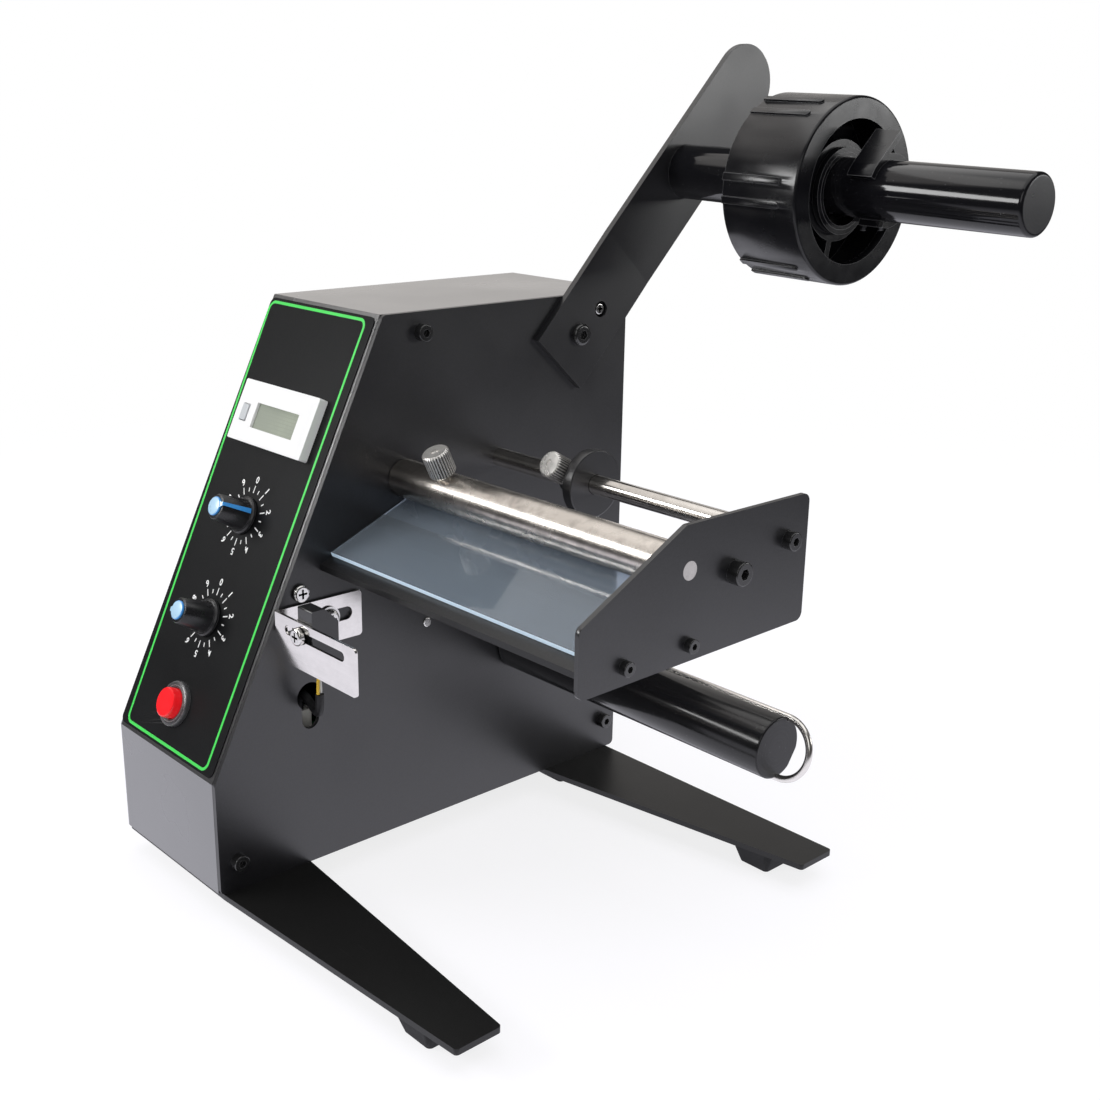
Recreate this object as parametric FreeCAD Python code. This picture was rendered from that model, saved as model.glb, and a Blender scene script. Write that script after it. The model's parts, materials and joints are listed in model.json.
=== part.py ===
import FreeCAD
import Part
import math
import os
from FreeCAD import Placement, Rotation, Vector

# Desk label dispenser.  All sizes in millimetres.
# Working frame: X = 0 on the outer face of the side plate, +X towards the free ends of the rollers,
# Y = 0 on the housing's front face, +Y to the back, Z = 0 on the housing's lower edge, +Z up.
# At the end the model is moved so that its origin is the centre of its outline on the floor.

# ---- clearances ----
RUN = 0.05          # radial play of a shaft that turns or slides in a bore
GAP = 0.3           # space between pieces that move past each other
SEAT = 0.02         # play round a fixed screw or peg
SPARE = 5.0         # how far a cutting body reaches past what it cuts
NEAR = 0.01         # tolerance when edges are picked by their place

# ---- housing ----
HOUSING_HEIGHT = 225.0
HOUSING_DEPTH = 220.8
HOUSING_WIDTH = 80.6
NOSE_HEIGHT = 48.4
SLOPE_RUN = 85.2
SIDE_PLATE_T = 2.0
SIDE_CORNER_R = 2.5
SHELL_T = 1.2
SHELL_CORNER_R = 2.5
BOTTOM_T = 1.5
LUG = 13.0
LUG_DEPTH = 14.0
OVERLAY_T = 0.4
OVERLAY_MARGIN = 1.6
OVERLAY_CORNER_R = 3.0

# ---- feet ----
FOOT_BAR_T = 2.5
FOOT_REACH = 138.0
FOOT_ROOT_W = 41.0
FOOT_TIP_W = 20.4
FRONT_ROOT_Y = 1.5
FRONT_TIP_Y = 9.3
REAR_ROOT_INSET = 4.8
REAR_TIP_SHIFT = 21.6
FOOT_CORNER_R = 1.6
RUBBER_TOP = 21.5
RUBBER_BOTTOM = 15.2
RUBBER_H = 9.5
RUBBER_ROUND_SHARE = 0.12
RUBBER_TIP_INSET = 26.5
RUBBER_MID_INSET = 10.0
RUBBER_WALL_INSET = 11.0
FOOT_SCREW_INSETS = (26.0, 50.0)

# ---- screws ----
M3_R = 1.5
M4_R = 2.0
M5_R = 2.5
M6_R = 3.0
CAP_HEAD_SHARE = 1.75       # sizes of a cap screw's head over its thread radius
CAP_HEIGHT_SHARE = 1.9
CAP_SOCKET_SHARE = 0.86
CAP_DEPTH_SHARE = 1.15
CAP_EDGE_SHARE = 0.22
PAN_HEAD_R = 3.6
PAN_HEAD_H = 2.2
CROSS_W = 0.9
CROSS_SHARE = 0.56
PAN_CROWN_SHARE = 0.45
NUT_R = 4.5
NUT_H = 3.0
PAN_SCREW_LENGTH = 8.0
CAP_SCREW_LENGTH = 14.0
TOP_SCREW_BACK = 18.5
TOP_SCREW_DOWN = 8.4
FRONT_SCREW_YZ = (8.3, 13.0)
REAR_SCREW_INSET = 8.2
REAR_SCREW_Z = 15.2

# ---- reel arm and shaft ----
ARM_FOOT_INSET = 43.1
ARM_FOOT_DOWN = 29.5
ARM_ANGLE = 47.0
ARM_WIDTH = 35.0
ARM_T = 3.0
ARM_SPAN = 163.0
ARM_BEND = 60.0
ARM_LEAN = 1.6
ARM_BOLT_AT = 17.0
ARM_BOLT_HEAD_R = 4.9
ARM_BOLT_HEAD_H = 2.6
ARM_BOLT_SOCKET_R = 2.25
ARM_BOLT_SOCKET_DEPTH = 1.8
ARM_BOLT_EDGE_R = 1.5
ARM_BOLT_LENGTH = 11.0
ARM_NUT_R = 6.0
ARM_NUT_H = 5.0
ARM_PEG_AT = 33.0
ARM_PEG_SIDE = -2.5
ARM_PEG_HOLE_R = 3.6
ARM_PEG_HEAD_R = 2.9
REEL_AT = 110.5
REEL_R = 12.0
REEL_LENGTH = 178.0
REEL_END_R = 1.6
REEL_SCREW_LENGTH = 22.0
REEL_SCREW_HEAD_R = 5.0
REEL_SCREW_HEAD_H = 3.2
REEL_SCREW_SOCKET_R = 2.4
REEL_SCREW_SOCKET_DEPTH = 2.0

# ---- core holder ----
CORE_R = 37.9
CORE_WALL = 2.6
CORE_WIDTH = 38.0
CORE_START = 56.5
CORE_FACE_T = 3.0
CORE_FACE_HOLE_R = 29.1
CORE_EDGE_R = 1.2
CORE_LIP_DEPTH = 4.0
CORE_WEB_X = 69.0
CORE_WEB_T = 2.5
CORE_LIP_T = 1.2
RIB_H = 0.9
RIB_W = 3.0
RIB_LENGTH = 30.0
RIB_GROUPS = 6
RIB_ANGLE = 30.0
RIB_SPREAD = 14.0
HOLDER_DROP = 1.9           # the holder hangs this far below the shaft's axis
SLEEVE_WALL = 1.6
SLEEVE_FLANGE_R = 22.5
SLEEVE_FLANGE_T = 3.0
SPOKES = 3
SPOKE_ANGLE = 50.0
SPOKE_T = 3.0
HUB_WALL = 4.9
HUB_START = 64.0
HUB_END = 86.5
COLLAR_R = 17.6
COLLAR_END = 89.5
TAIL_R = 16.6
TAIL_SECTOR = (-60.0, 30.0)
TONGUE_START = 100.0
TONGUE_END = 112.0
TONGUE_T = 2.4
TONGUE_UP = 18.4
TONGUE_TILT = 44.5
GRIP_R = 14.65
GRIP_SECTOR = (-102.0, 157.0)
GRIP_BUMP_R = 1.2
GRIP_BUMP_RISE = 2.0
GRIP_BUMPS = ((101.4, -95.0), (106.0, -75.0))

# ---- label bed, acrylic plate and outer plate ----
BED_ANGLE = 22.7
ACRYLIC_Y = 56.9
ACRYLIC_Z = 133.3
ACRYLIC_T = 2.0
ACRYLIC_DEPTH = 50.0
BED_NOSE = 6.0
BED_TOP = 29.0
BED_BASE_Z = 125.4
BED_LEDGE_Z = 135.6
BED_BACK_Y = 98.6
BED_NOSE_T = 2.4
BED_POCKET_Y = (68.5, 86.5)
BED_POCKET_WALL = 3.0
BED_SCREWS_YZ = ((64.0, 131.1), (95.0, 131.2))
OUTER_PLATE_X = 158.0
OUTER_PLATE_T = 2.0
OUTER_PLATE_R = 3.2
OUTER_PLATE_YZ = ((43.3, 124.4), (156.6, 126.0), (156.6, 174.2), (91.6, 174.2), (43.3, 148.6))

# ---- rods over the bed ----
TUBE_Y = 94.0
TUBE_Z = 157.9
TUBE_R = 8.0
TUBE_CORE_R = 6.0
TUBE_PIN_R = 3.4
TIE_Y = 117.1
TIE_Z = 152.7
GUIDE_Y = 145.6
GUIDE_Z = 158.6
ROD_R = 4.0
TUBE_KNOB_X = 31.3
TUBE_KNOB_TILT = 25.0
GUIDE_KNOB_X = 48.9
GUIDE_KNOB_TILT = 60.0
KNOB_R = 5.5
KNOB_H = 10.4
KNOB_STEM_R = 2.0
KNOB_STAND = 1.6
KNOB_CHAMFER = 0.7
KNOB_DIMPLE_R = 1.65
KNOB_DIMPLE_DEPTH = 0.8
DISC_R = 14.0
DISC_T = 5.0
DISC_FACE_X = 59.7
DISC_HUB_R = 6.4
DISC_HUB_LENGTH = 10.0
DISC_EDGE_R = 0.5

# ---- take-up spindle ----
TAKEUP_Y = 157.3
TAKEUP_Z = 70.9
TAKEUP_R = 12.5
TAKEUP_END_X = 150.8
TAKEUP_ROOT_X = 1.2
TAKEUP_END_R = 0.8
TAKEUP_FLAT = 1.2
TAKEUP_FLAT_ANGLE = -34.0
CLIP_WIRE_R = 1.4
CLIP_PLAY = 0.25
CLIP_ANGLES = (61.0, -85.0)
CLIP_SEAT_R = 12.7
CLIP_START_X = 6.0
DRIVE_SHAFT_R = 5.0
DRIVE_SHAFT_BACK = 29.0
BUSH_R = 14.0
BUSH_LENGTH = 12.0
PULLEY_X = -17.0
PULLEY_W = 8.0
RIM_T = 1.0
TAKEUP_PULLEY_R = 15.0
MOTOR_PULLEY_R = 8.0
BELT_T = 1.4
BELT_PLAY = 0.3

# ---- motor ----
MOTOR_Y = 108.0
MOTOR_Z = 52.0
MOTOR_R = 18.5
MOTOR_LENGTH = 36.0
MOTOR_FACE_X = -31.0
MOTOR_EDGE_R = 1.5
MOTOR_BOSS_R = 4.5
MOTOR_SHAFT_R = 3.0
MOTOR_SHAFT_DEPTH = 12.0
BRACKET_T = 2.0
BRACKET_W = 50.0
BRACKET_H = 76.0
BRACKET_FOOT = 24.0

# ---- electrics inside the housing ----
BOARD_T = 1.6
BOARD_X = -16.0
BOARD_Y = (14.0, 84.0)
BOARD_Z = (10.0, 56.0)
STANDOFF_R = 2.6
STANDOFF_INSET = 5.0
RELAY_SIZE = (15.0, 19.0, 15.0)
RELAY_AT = (8.0, 10.0)
CHIP_SIZE = (4.0, 10.0, 20.0)
CHIP_AT = (36.0, 14.0)
TERMINAL_SIZE = (9.0, 32.0, 7.0)
TERMINAL_AT = (16.0, 37.0)
CAPACITOR_R = 5.0
CAPACITOR_LENGTH = 16.0
CAPACITORS_AT = ((56.0, 12.0), (56.0, 26.0))
SUPPLY_SIZE = (32.0, 44.0, 30.0)
SUPPLY_WALL_INSET = 4.6
SUPPLY_Y = 36.0
INLET_SHIFT = -1.7
INLET_Z = 46.0
INLET_W = 27.0
INLET_H = 20.0
INLET_FLANGE_W = 50.0
INLET_FLANGE_RIM = 1.5
INLET_FLANGE_T = 2.4
INLET_DEPTH = 22.0
INLET_WALL = 2.0
INLET_HOLES = 40.0
PIN_SPACING = 7.0
PIN_LENGTH = 12.0
PIN_W = 2.0
PIN_H = 4.0
PIN_OFFSET = 2.0

# ---- control panel (x across, s up the slope, h out of it; shifts are from its middle) ----
COUNTER_SHIFT = -1.7
COUNTER_S = 144.4
COUNTER_W = 54.8
COUNTER_H = 26.2
COUNTER_PROUD = 4.0
COUNTER_BODY_W = 45.0
COUNTER_BODY_H = 22.2
COUNTER_BODY_DEPTH = 46.0
COUNTER_CORNER_R = 0.8
LCD_SHIFT = 2.0
LCD_DROP = 1.0
LCD_W = 31.0
LCD_H = 10.8
LCD_SUNK = 1.2
LCD_T = 0.8
RESET_SHIFT = -20.7
RESET_DROP = 0.9
RESET_W = 4.4
RESET_H = 7.0
RESET_TRAVEL = 1.0
RESET_PROUD = 0.5
RESET_DEPTH = 1.6
DIAL_SHIFT = -2.3
LENGTH_DIAL_S = 102.8
SPEED_DIAL_S = 58.2
LENGTH_POINTER = 66.0
SPEED_POINTER = 261.0
DIAL_KNOB_R = 7.9
DIAL_BODY_R = 6.9
DIAL_KNOB_TOP_R = 6.1
DIAL_KNOB_H = 14.5
DIAL_SKIRT_H = 1.8
DIAL_LIFT = 0.4
DIAL_CAP_R = 5.4
DIAL_CAP_H = 0.9
DIAL_CAP_EDGE_R = 0.54
DIAL_LINE_H = 0.36
DIAL_POINTER_W = 1.6
DIAL_POINTER_H = 0.8
POT_SHAFT_R = 3.0
POT_BUSH_R = 3.6
POT_BODY_R = 8.4
POT_BODY_DEPTH = 10.0
POT_BORE_DEPTH = 8.0
BUTTON_SHIFT = -3.1
BUTTON_S = 20.3
BUTTON_R = 7.3
BUTTON_PROUD = 8.6
BUTTON_TRAVEL = 3.0
BUTTON_EDGE_R = 1.2
BUTTON_BEZEL_R = 9.2
BUTTON_BEZEL_H = 2.0
BUTTON_BODY_DEPTH = 24.0
BUTTON_WALL = 0.8
BUTTON_WELL = 4.0
BUTTON_STEM_R = 3.5
BUTTON_STEM_END = 9.0

# ---- label sensor ----
BRACKET_SHEET_T = 1.2
BRACKET_FRONT_Y = 29.7
BRACKET_BACK_Y = 70.4
BRACKET_LOW_Z = 95.6
BRACKET_TOP_Z = 114.9
BRACKET_REACH = 55.0
BRACKET_CHAMFER = 11.0
BRACKET_CORNER_R = 1.6
BRACKET_BEND_R = 0.8
SIDE_SLOT_Y = (37.0, 65.7)
SIDE_SLOT_Z = 106.5
FRONT_SLOT_X = (8.0, 47.9)
FRONT_SLOT_Z = 109.6
SIDE_SLOT_R = 2.8
FRONT_SLOT_R = 1.95
BRACKET_SCREW_Y = 54.1
WASHER_R = 4.9
WASHER_T = 0.8
SENSOR_X = (15.3, 24.8)
SENSOR_DEPTH = 12.0
SENSOR_Z = (103.4, 120.6)
SENSOR_CHAMFER = 6.0
SENSOR_EDGE_R = 0.6
SENSOR_SCREW_GRIP = 5.0
SENSOR_SCREW_X = 18.6
PANEL_SCREW_YZ = (42.2, 119.3)
RIVET_YZ = (105.1, 92.1)
RIVET_R = 1.5
RIVET_HEAD_H = 0.6
RIVET_CROWN_R = 0.42

# ---- sensor lead ----
LEAD_R = 1.8
WIRE_R = 0.65
LEAD_HOLE_R = 6.0
LEAD_SLOT_R = 4.0
LEAD_HOLE_YZ = (45.0, 74.4)
LEAD_SLOT_DROP = 10.2
LEAD_ROUTE = ((-9.6, 45.8, 65.5), (-9.6, 45.8, 70.5), (-4.5, 45.0, 74.5), (2.6, 43.9, 71.9),
              (9.6, 42.7, 70.1), (12.8, 41.3, 76.3), (12.8, 41.3, 80.5))
WHITE_ROUTE = ((12.4, 42.2, 80.8), (12.4, 42.2, 85.6), (14.4, 39.9, 93.0), (18.2, 37.8, 98.8),
               (18.2, 37.8, 103.4))
YELLOW_ROUTE = ((13.2, 40.4, 80.8), (13.2, 40.4, 85.4), (17.2, 38.9, 92.6), (21.8, 37.1, 98.4),
                (21.8, 37.1, 103.4))
PLUG_W = 8.0
PLUG_H = 16.0
PLUG_COVER = 1.0
BEND_SHARE = 0.45      # part of the shorter run that each bend of a cable takes up

nodes = {}


# ---- small helpers ----
def box(x0, x1, y0, y1, z0, z1):
    return Part.makeBox(x1 - x0, y1 - y0, z1 - z0, Vector(x0, y0, z0))


def rod_x(x0, x1, y, z, radius):
    return Part.makeCylinder(radius, x1 - x0, Vector(x0, y, z), Vector(1, 0, 0))


def rod_z(x, y, z0, z1, radius):
    return Part.makeCylinder(radius, z1 - z0, Vector(x, y, z0), Vector(0, 0, 1))


def tube_x(x0, x1, y, z, outer, inner):
    return rod_x(x0, x1, y, z, outer).cut(rod_x(x0, x1, y, z, inner))


def corner_arc(before, corner, after, radius):
    """Tangent points and middle point of the arc that rounds one corner."""
    to_before = (before - corner).normalize()
    to_after = (after - corner).normalize()
    half = to_before.getAngle(to_after) / 2
    reach = radius / math.tan(half)
    middle_way = (to_before + to_after).normalize()
    middle = corner + middle_way * (radius / math.sin(half) - radius)
    return corner + to_before * reach, middle, corner + to_after * reach


def rounded_face(points, radius):
    """Flat face through the given corners, each rounded by the same radius."""
    edges = []
    last = None
    first = None
    count = len(points)
    for i, corner in enumerate(points):
        start, middle, end = corner_arc(points[i - 1], corner, points[(i + 1) % count], radius)
        if last is not None:
            edges.append(Part.LineSegment(last, start).toShape())
        edges.append(Part.Arc(start, middle, end).toShape())
        first = first or start
        last = end
    edges.append(Part.LineSegment(last, first).toShape())
    return Part.Face(Part.Wire(edges))


def face_of(points):
    return Part.Face(Part.makePolygon(list(points) + [points[0]]))


def prism_x(outline, x0, x1, radius=0.0):
    """Outline of (y, z) corners, pushed from x0 to x1."""
    points = [Vector(x0, y, z) for y, z in outline]
    face = rounded_face(points, radius) if radius else face_of(points)
    return face.extrude(Vector(x1 - x0, 0, 0))


def prism_z(outline, z0, z1, radius=0.0):
    """Outline of (x, y) corners, pushed from z0 to z1."""
    points = [Vector(x, y, z0) for x, y in outline]
    face = rounded_face(points, radius) if radius else face_of(points)
    return face.extrude(Vector(0, 0, z1 - z0))


def slot_y(x0, x1, y0, y1, z, radius):
    """Long hole through a plate that faces X, its round ends at y0 and y1."""
    ends = rod_x(x0, x1, y0 + radius, z, radius).fuse(rod_x(x0, x1, y1 - radius, z, radius))
    return ends.fuse(box(x0, x1, y0 + radius, y1 - radius, z - radius, z + radius)).removeSplitter()


def cap_screw(x, y, z, thread_r, facing=1):
    """Socket cap screw along X, its head outside x; facing -1 turns it round."""
    top = thread_r * CAP_HEIGHT_SHARE
    head = rod_x(0, top, 0, 0, thread_r * CAP_HEAD_SHARE)
    head = head.makeFillet(thread_r * CAP_EDGE_SHARE, edges_beyond(head, top))
    socket = hexagon_x(top - thread_r * CAP_DEPTH_SHARE, top, 0, 0, thread_r * CAP_SOCKET_SHARE)
    screw = head.cut(socket).fuse(rod_x(-CAP_SCREW_LENGTH, 0, 0, 0, thread_r - SEAT)).removeSplitter()
    turn = Rotation(Vector(0, 0, 1), 0 if facing > 0 else 180)
    screw.Placement = Placement(Vector(x, y, z), turn)
    return screw


def edges_beyond(shape, x):
    """Edges that lie wholly at or beyond x."""
    return [edge for edge in shape.Edges if edge.BoundBox.XMin > x - NEAR]


def edges_above(shape, z):
    return [edge for edge in shape.Edges if edge.BoundBox.ZMin > z - NEAR]


def hexagon_x(x0, x1, y, z, radius):
    turns = [math.radians(60 * i) for i in range(6)]
    return prism_x([(y + radius * math.cos(a), z + radius * math.sin(a)) for a in turns], x0, x1)


def pan_screw(base, outward, length, head_r=PAN_HEAD_R, head_h=PAN_HEAD_H, thread_r=M3_R):
    """Cross-recess pan head screw: head on the outward side of base, shank behind it."""
    head = Part.makeCylinder(head_r, head_h)
    head = head.makeFillet(head_h * PAN_CROWN_SHARE, edges_above(head, head_h))
    arm = head_r * CROSS_SHARE
    floor = head_h * PAN_CROWN_SHARE
    for turn in (0, 90):
        blade = Part.makeBox(2 * arm, CROSS_W, head_h, Vector(-arm, -CROSS_W / 2, floor))
        blade.rotate(Vector(), Vector(0, 0, 1), turn)
        head = head.cut(blade)
    shank = Part.makeCylinder(thread_r - SEAT, length, Vector(0, 0, -length))
    screw = head.fuse(shank).removeSplitter()
    screw.Placement = Placement(base, Rotation(Vector(0, 0, 1), outward))
    return screw


def thumb_screw(centre, outward, start, reach):
    """Knurled thumb screw: its stem runs from reach out to start, where the head begins."""
    head = Part.makeCylinder(KNOB_R, KNOB_H, Vector(0, 0, start))
    head = head.makeChamfer(KNOB_CHAMFER, [e for e in head.Edges if len(e.Vertexes) == 1])
    floor = start + KNOB_H - KNOB_DIMPLE_DEPTH
    dimple = Part.makeCylinder(KNOB_DIMPLE_R, KNOB_DIMPLE_DEPTH, Vector(0, 0, floor))
    stem = Part.makeCylinder(KNOB_STEM_R, start - reach, Vector(0, 0, reach))
    screw = head.cut(dimple).fuse(stem).removeSplitter()
    screw.Placement = Placement(centre, Rotation(Vector(0, 0, 1), outward))
    return screw


# ---- places worked out from the sizes ----
HOUSING_LEFT = -HOUSING_WIDTH
INSIDE_X = -SIDE_PLATE_T
MIDDLE_X = -HOUSING_WIDTH / 2
SLOPE_ANGLE = math.degrees(math.atan2(HOUSING_HEIGHT - NOSE_HEIGHT, SLOPE_RUN))
SLOPE_LENGTH = math.hypot(HOUSING_HEIGHT - NOSE_HEIGHT, SLOPE_RUN)
PANEL = Placement(Vector(0, 0, NOSE_HEIGHT), Rotation(Vector(1, 0, 0), SLOPE_ANGLE))
ARM_FOOT = Vector(0, HOUSING_DEPTH - ARM_FOOT_INSET, HOUSING_HEIGHT - ARM_FOOT_DOWN)
ARM = Placement(ARM_FOOT, Rotation(Vector(1, 0, 0), ARM_ANGLE))
LEANING_ARM = ARM * Placement(Vector(0, ARM_BEND, 0), Rotation(Vector(0, 0, 1), -ARM_LEAN))
REEL = LEANING_ARM * Placement(Vector(ARM_T, REEL_AT - ARM_BEND, 0), Rotation())
UPRIGHT_REEL = REEL * Placement(Vector(), Rotation(Vector(1, 0, 0), -ARM_ANGLE))
HOLDER = UPRIGHT_REEL * Placement(Vector(0, 0, -HOLDER_DROP), Rotation())
BED = Placement(Vector(0, ACRYLIC_Y, ACRYLIC_Z), Rotation(Vector(1, 0, 0), BED_ANGLE))
OUTER_INSIDE_X = OUTER_PLATE_X - OUTER_PLATE_T
GUIDE_END = (GUIDE_Y, GUIDE_Z, M4_R)
TIE_END = (TIE_Y, TIE_Z, M5_R)
TUBE_END = (TUBE_Y, TUBE_Z, M4_R)
BED_ENDS = tuple((y, z, M3_R) for y, z in BED_SCREWS_YZ)
OUTER_ENDS = BED_ENDS + (GUIDE_END, TIE_END)
DIAL_BASE = OVERLAY_T + DIAL_LIFT + GAP
BUTTON_NECK_R = BUTTON_R + GAP + BUTTON_WALL
COUNTER_X = MIDDLE_X + COUNTER_SHIFT
LCD_X = COUNTER_X + LCD_SHIFT
LCD_S = COUNTER_S - LCD_DROP
RESET_X = COUNTER_X + RESET_SHIFT
RESET_S = COUNTER_S - RESET_DROP
DIAL_X = MIDDLE_X + DIAL_SHIFT
BUTTON_X = MIDDLE_X + BUTTON_SHIFT
INLET_X = MIDDLE_X + INLET_SHIFT
REAR_ROOT_Y = HOUSING_DEPTH - REAR_ROOT_INSET - FOOT_ROOT_W
REAR_TIP_Y = REAR_ROOT_Y + REAR_TIP_SHIFT
COVER_SCREWS_YZ = ((SLOPE_RUN + TOP_SCREW_BACK, HOUSING_HEIGHT - TOP_SCREW_DOWN), FRONT_SCREW_YZ,
                   (HOUSING_DEPTH - REAR_SCREW_INSET, REAR_SCREW_Z))
FRONT_PROFILE = ((0.0, 0.0), (HOUSING_DEPTH, 0.0), (HOUSING_DEPTH, HOUSING_HEIGHT),
                 (SLOPE_RUN, HOUSING_HEIGHT), (0.0, NOSE_HEIGHT))


def placed(shape, frame):
    moved = shape.copy()
    moved.Placement = frame * moved.Placement
    return moved


# ---- housing ----
def holes_for(points, radius, x0, x1):
    return [rod_x(x0, x1, y, z, radius) for y, z in points]


def bores_for(ends, x0, x1):
    return [rod_x(x0, x1, *end) for end in ends]


def side_plate():
    """Flat plate that carries everything, with a weld nut behind the arm's bolt."""
    plate = prism_x(FRONT_PROFILE, -SIDE_PLATE_T, 0, SIDE_CORNER_R)
    nut = placed(hexagon_x(-SIDE_PLATE_T - ARM_NUT_H, -SIDE_PLATE_T, ARM_BOLT_AT, 0, ARM_NUT_R), ARM)
    x0, x1 = -SIDE_PLATE_T - ARM_NUT_H - SPARE, SPARE
    cuts = holes_for(COVER_SCREWS_YZ + (PANEL_SCREW_YZ,), M4_R, x0, x1)
    cuts += bores_for(OUTER_ENDS + (TUBE_END,), x0, x1)
    cuts += holes_for(((BRACKET_SCREW_Y, SIDE_SLOT_Z),), M3_R, x0, x1)
    cuts += holes_for((RIVET_YZ,), RIVET_R, x0, x1)
    cuts.append(rod_x(x0, x1, TAKEUP_Y, TAKEUP_Z, DRIVE_SHAFT_R + 1))
    cuts.append(lead_keyhole(x0, x1))
    for along, side, radius in ((ARM_BOLT_AT, 0, M6_R), (ARM_PEG_AT, ARM_PEG_SIDE, M3_R)):
        cuts.append(placed(rod_x(x0, x1, along, side, radius), ARM))
    return plate.fuse(nut).cut(cuts)


def lead_keyhole(x0, x1):
    """Round hole with a narrower slot below it, for the sensor's lead."""
    y, z = LEAD_HOLE_YZ
    low = z - LEAD_SLOT_DROP
    slot = box(x0, x1, y - LEAD_SLOT_R, y + LEAD_SLOT_R, low, z)
    return slot.fuse([rod_x(x0, x1, y, z, LEAD_HOLE_R), rod_x(x0, x1, y, low, LEAD_SLOT_R)]).removeSplitter()


def board_standoff_places():
    return [(y, z) for y in (BOARD_Y[0] + STANDOFF_INSET, BOARD_Y[1] - STANDOFF_INSET)
            for z in (BOARD_Z[0] + STANDOFF_INSET, BOARD_Z[1] - STANDOFF_INSET)]


def offset_profile(wall):
    """Housing side outline moved inwards by the wall, but open at the bottom."""
    half_turn = math.radians(SLOPE_ANGLE)
    foot = wall * math.tan((math.pi / 2 - half_turn) / 2)
    head = wall * math.tan(half_turn / 2)
    back, top = HOUSING_DEPTH - wall, HOUSING_HEIGHT - wall
    return ((wall, -SPARE), (back, -SPARE), (back, top), (SLOPE_RUN + head, top), (wall, NOSE_HEIGHT - foot))


def rounded_left_block():
    """Solid housing outline with its left edges rounded like a bent sheet."""
    block = prism_x(FRONT_PROFILE, HOUSING_LEFT, INSIDE_X - GAP)
    left = [e for e in block.Edges
            if e.BoundBox.XMax < HOUSING_LEFT + NEAR and e.BoundBox.ZMax > NEAR]
    return block.makeFillet(SHELL_CORNER_R, left)


def panel_cutouts():
    cuts = [box(COUNTER_X - COUNTER_BODY_W / 2, COUNTER_X + COUNTER_BODY_W / 2,
                COUNTER_S - COUNTER_BODY_H / 2, COUNTER_S + COUNTER_BODY_H / 2, -SPARE, SPARE)]
    for s in (LENGTH_DIAL_S, SPEED_DIAL_S):
        cuts.append(rod_z(DIAL_X, s, -SPARE, SPARE, POT_BUSH_R))
    cuts.append(rod_z(BUTTON_X, BUTTON_S, -SPARE, SPARE, BUTTON_NECK_R))
    return [placed(cut, PANEL) for cut in cuts]


def shell_lug(y, z):
    """Tapped block behind a cover screw, grown to the nearest walls."""
    half = LUG / 2
    near_top = z > HOUSING_HEIGHT / 2
    low_z = z - half if near_top else BOTTOM_T
    high_z = HOUSING_HEIGHT if near_top else z + half
    low_y = 0 if y < HOUSING_DEPTH / 4 else y - half
    high_y = HOUSING_DEPTH if y > HOUSING_DEPTH * 3 / 4 else y + half
    lug = box(INSIDE_X - LUG_DEPTH, INSIDE_X, low_y, high_y, low_z, high_z)
    return lug.common(prism_x(offset_profile(SHELL_T / 2), HOUSING_LEFT, INSIDE_X))


def housing_shell():
    """Bent cover: open towards the side plate and at the bottom, with a tapped block behind each screw."""
    shell = rounded_left_block().cut(prism_x(offset_profile(SHELL_T), HOUSING_LEFT + SHELL_T, SPARE))
    shell = shell.fuse([shell_lug(y, z) for y, z in COVER_SCREWS_YZ])
    shell = shell.cut(panel_cutouts() + holes_for(COVER_SCREWS_YZ, M4_R, INSIDE_X - LUG_DEPTH, SPARE))
    window = box(INLET_X - INLET_W / 2, INLET_X + INLET_W / 2, HOUSING_DEPTH - SPARE,
                 HOUSING_DEPTH + SPARE, INLET_Z - INLET_H / 2, INLET_Z + INLET_H / 2)
    return shell.cut(window).removeSplitter()


def bottom_plate():
    """Floor of the housing, with a weld nut over each foot screw."""
    plate = box(HOUSING_LEFT + SHELL_T, INSIDE_X, SHELL_T, HOUSING_DEPTH - SHELL_T, 0, BOTTOM_T)
    nuts = [rod_z(x, y, 0, BOTTOM_T + NUT_H, NUT_R) for x, y in foot_screw_places()]
    holes = [rod_z(x, y, -SPARE, BOTTOM_T + NUT_H + SPARE, M4_R) for x, y in foot_screw_places()]
    return plate.fuse(nuts).cut(holes).removeSplitter()


def control_panel():
    x0 = HOUSING_LEFT + OVERLAY_MARGIN
    x1 = INSIDE_X - OVERLAY_MARGIN
    s0 = OVERLAY_MARGIN
    s1 = SLOPE_LENGTH - OVERLAY_MARGIN
    sheet = prism_z(((x0, s0), (x1, s0), (x1, s1), (x0, s1)), 0, OVERLAY_T, OVERLAY_CORNER_R)
    return placed(sheet, PANEL).cut(panel_cutouts())


# ---- feet ----
def bar_outline(root_y, tip_y):
    root_back, tip_back = root_y + FOOT_ROOT_W, tip_y + FOOT_TIP_W
    return ((HOUSING_LEFT, root_y), (0, root_y), (FOOT_REACH, tip_y), (FOOT_REACH, tip_back),
            (0, root_back), (HOUSING_LEFT, root_back))


def bar_middle(root_y, tip_y, x):
    share = max(0.0, x) / FOOT_REACH
    root_middle = root_y + FOOT_ROOT_W / 2
    tip_middle = tip_y + FOOT_TIP_W / 2
    return root_middle + (tip_middle - root_middle) * share


def foot_screw_places():
    return [(-inset, bar_middle(root, tip, -inset))
            for root, tip in bars() for inset in FOOT_SCREW_INSETS]


def rubber_places():
    inside = (-RUBBER_MID_INSET, HOUSING_LEFT + RUBBER_WALL_INSET)
    places = [(x, bar_middle(root, tip, x)) for root, tip in bars() for x in inside]
    tip_x = FOOT_REACH - RUBBER_TIP_INSET
    return places + [(tip_x, bar_middle(root, tip, tip_x)) for root, tip in bars()]


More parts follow.
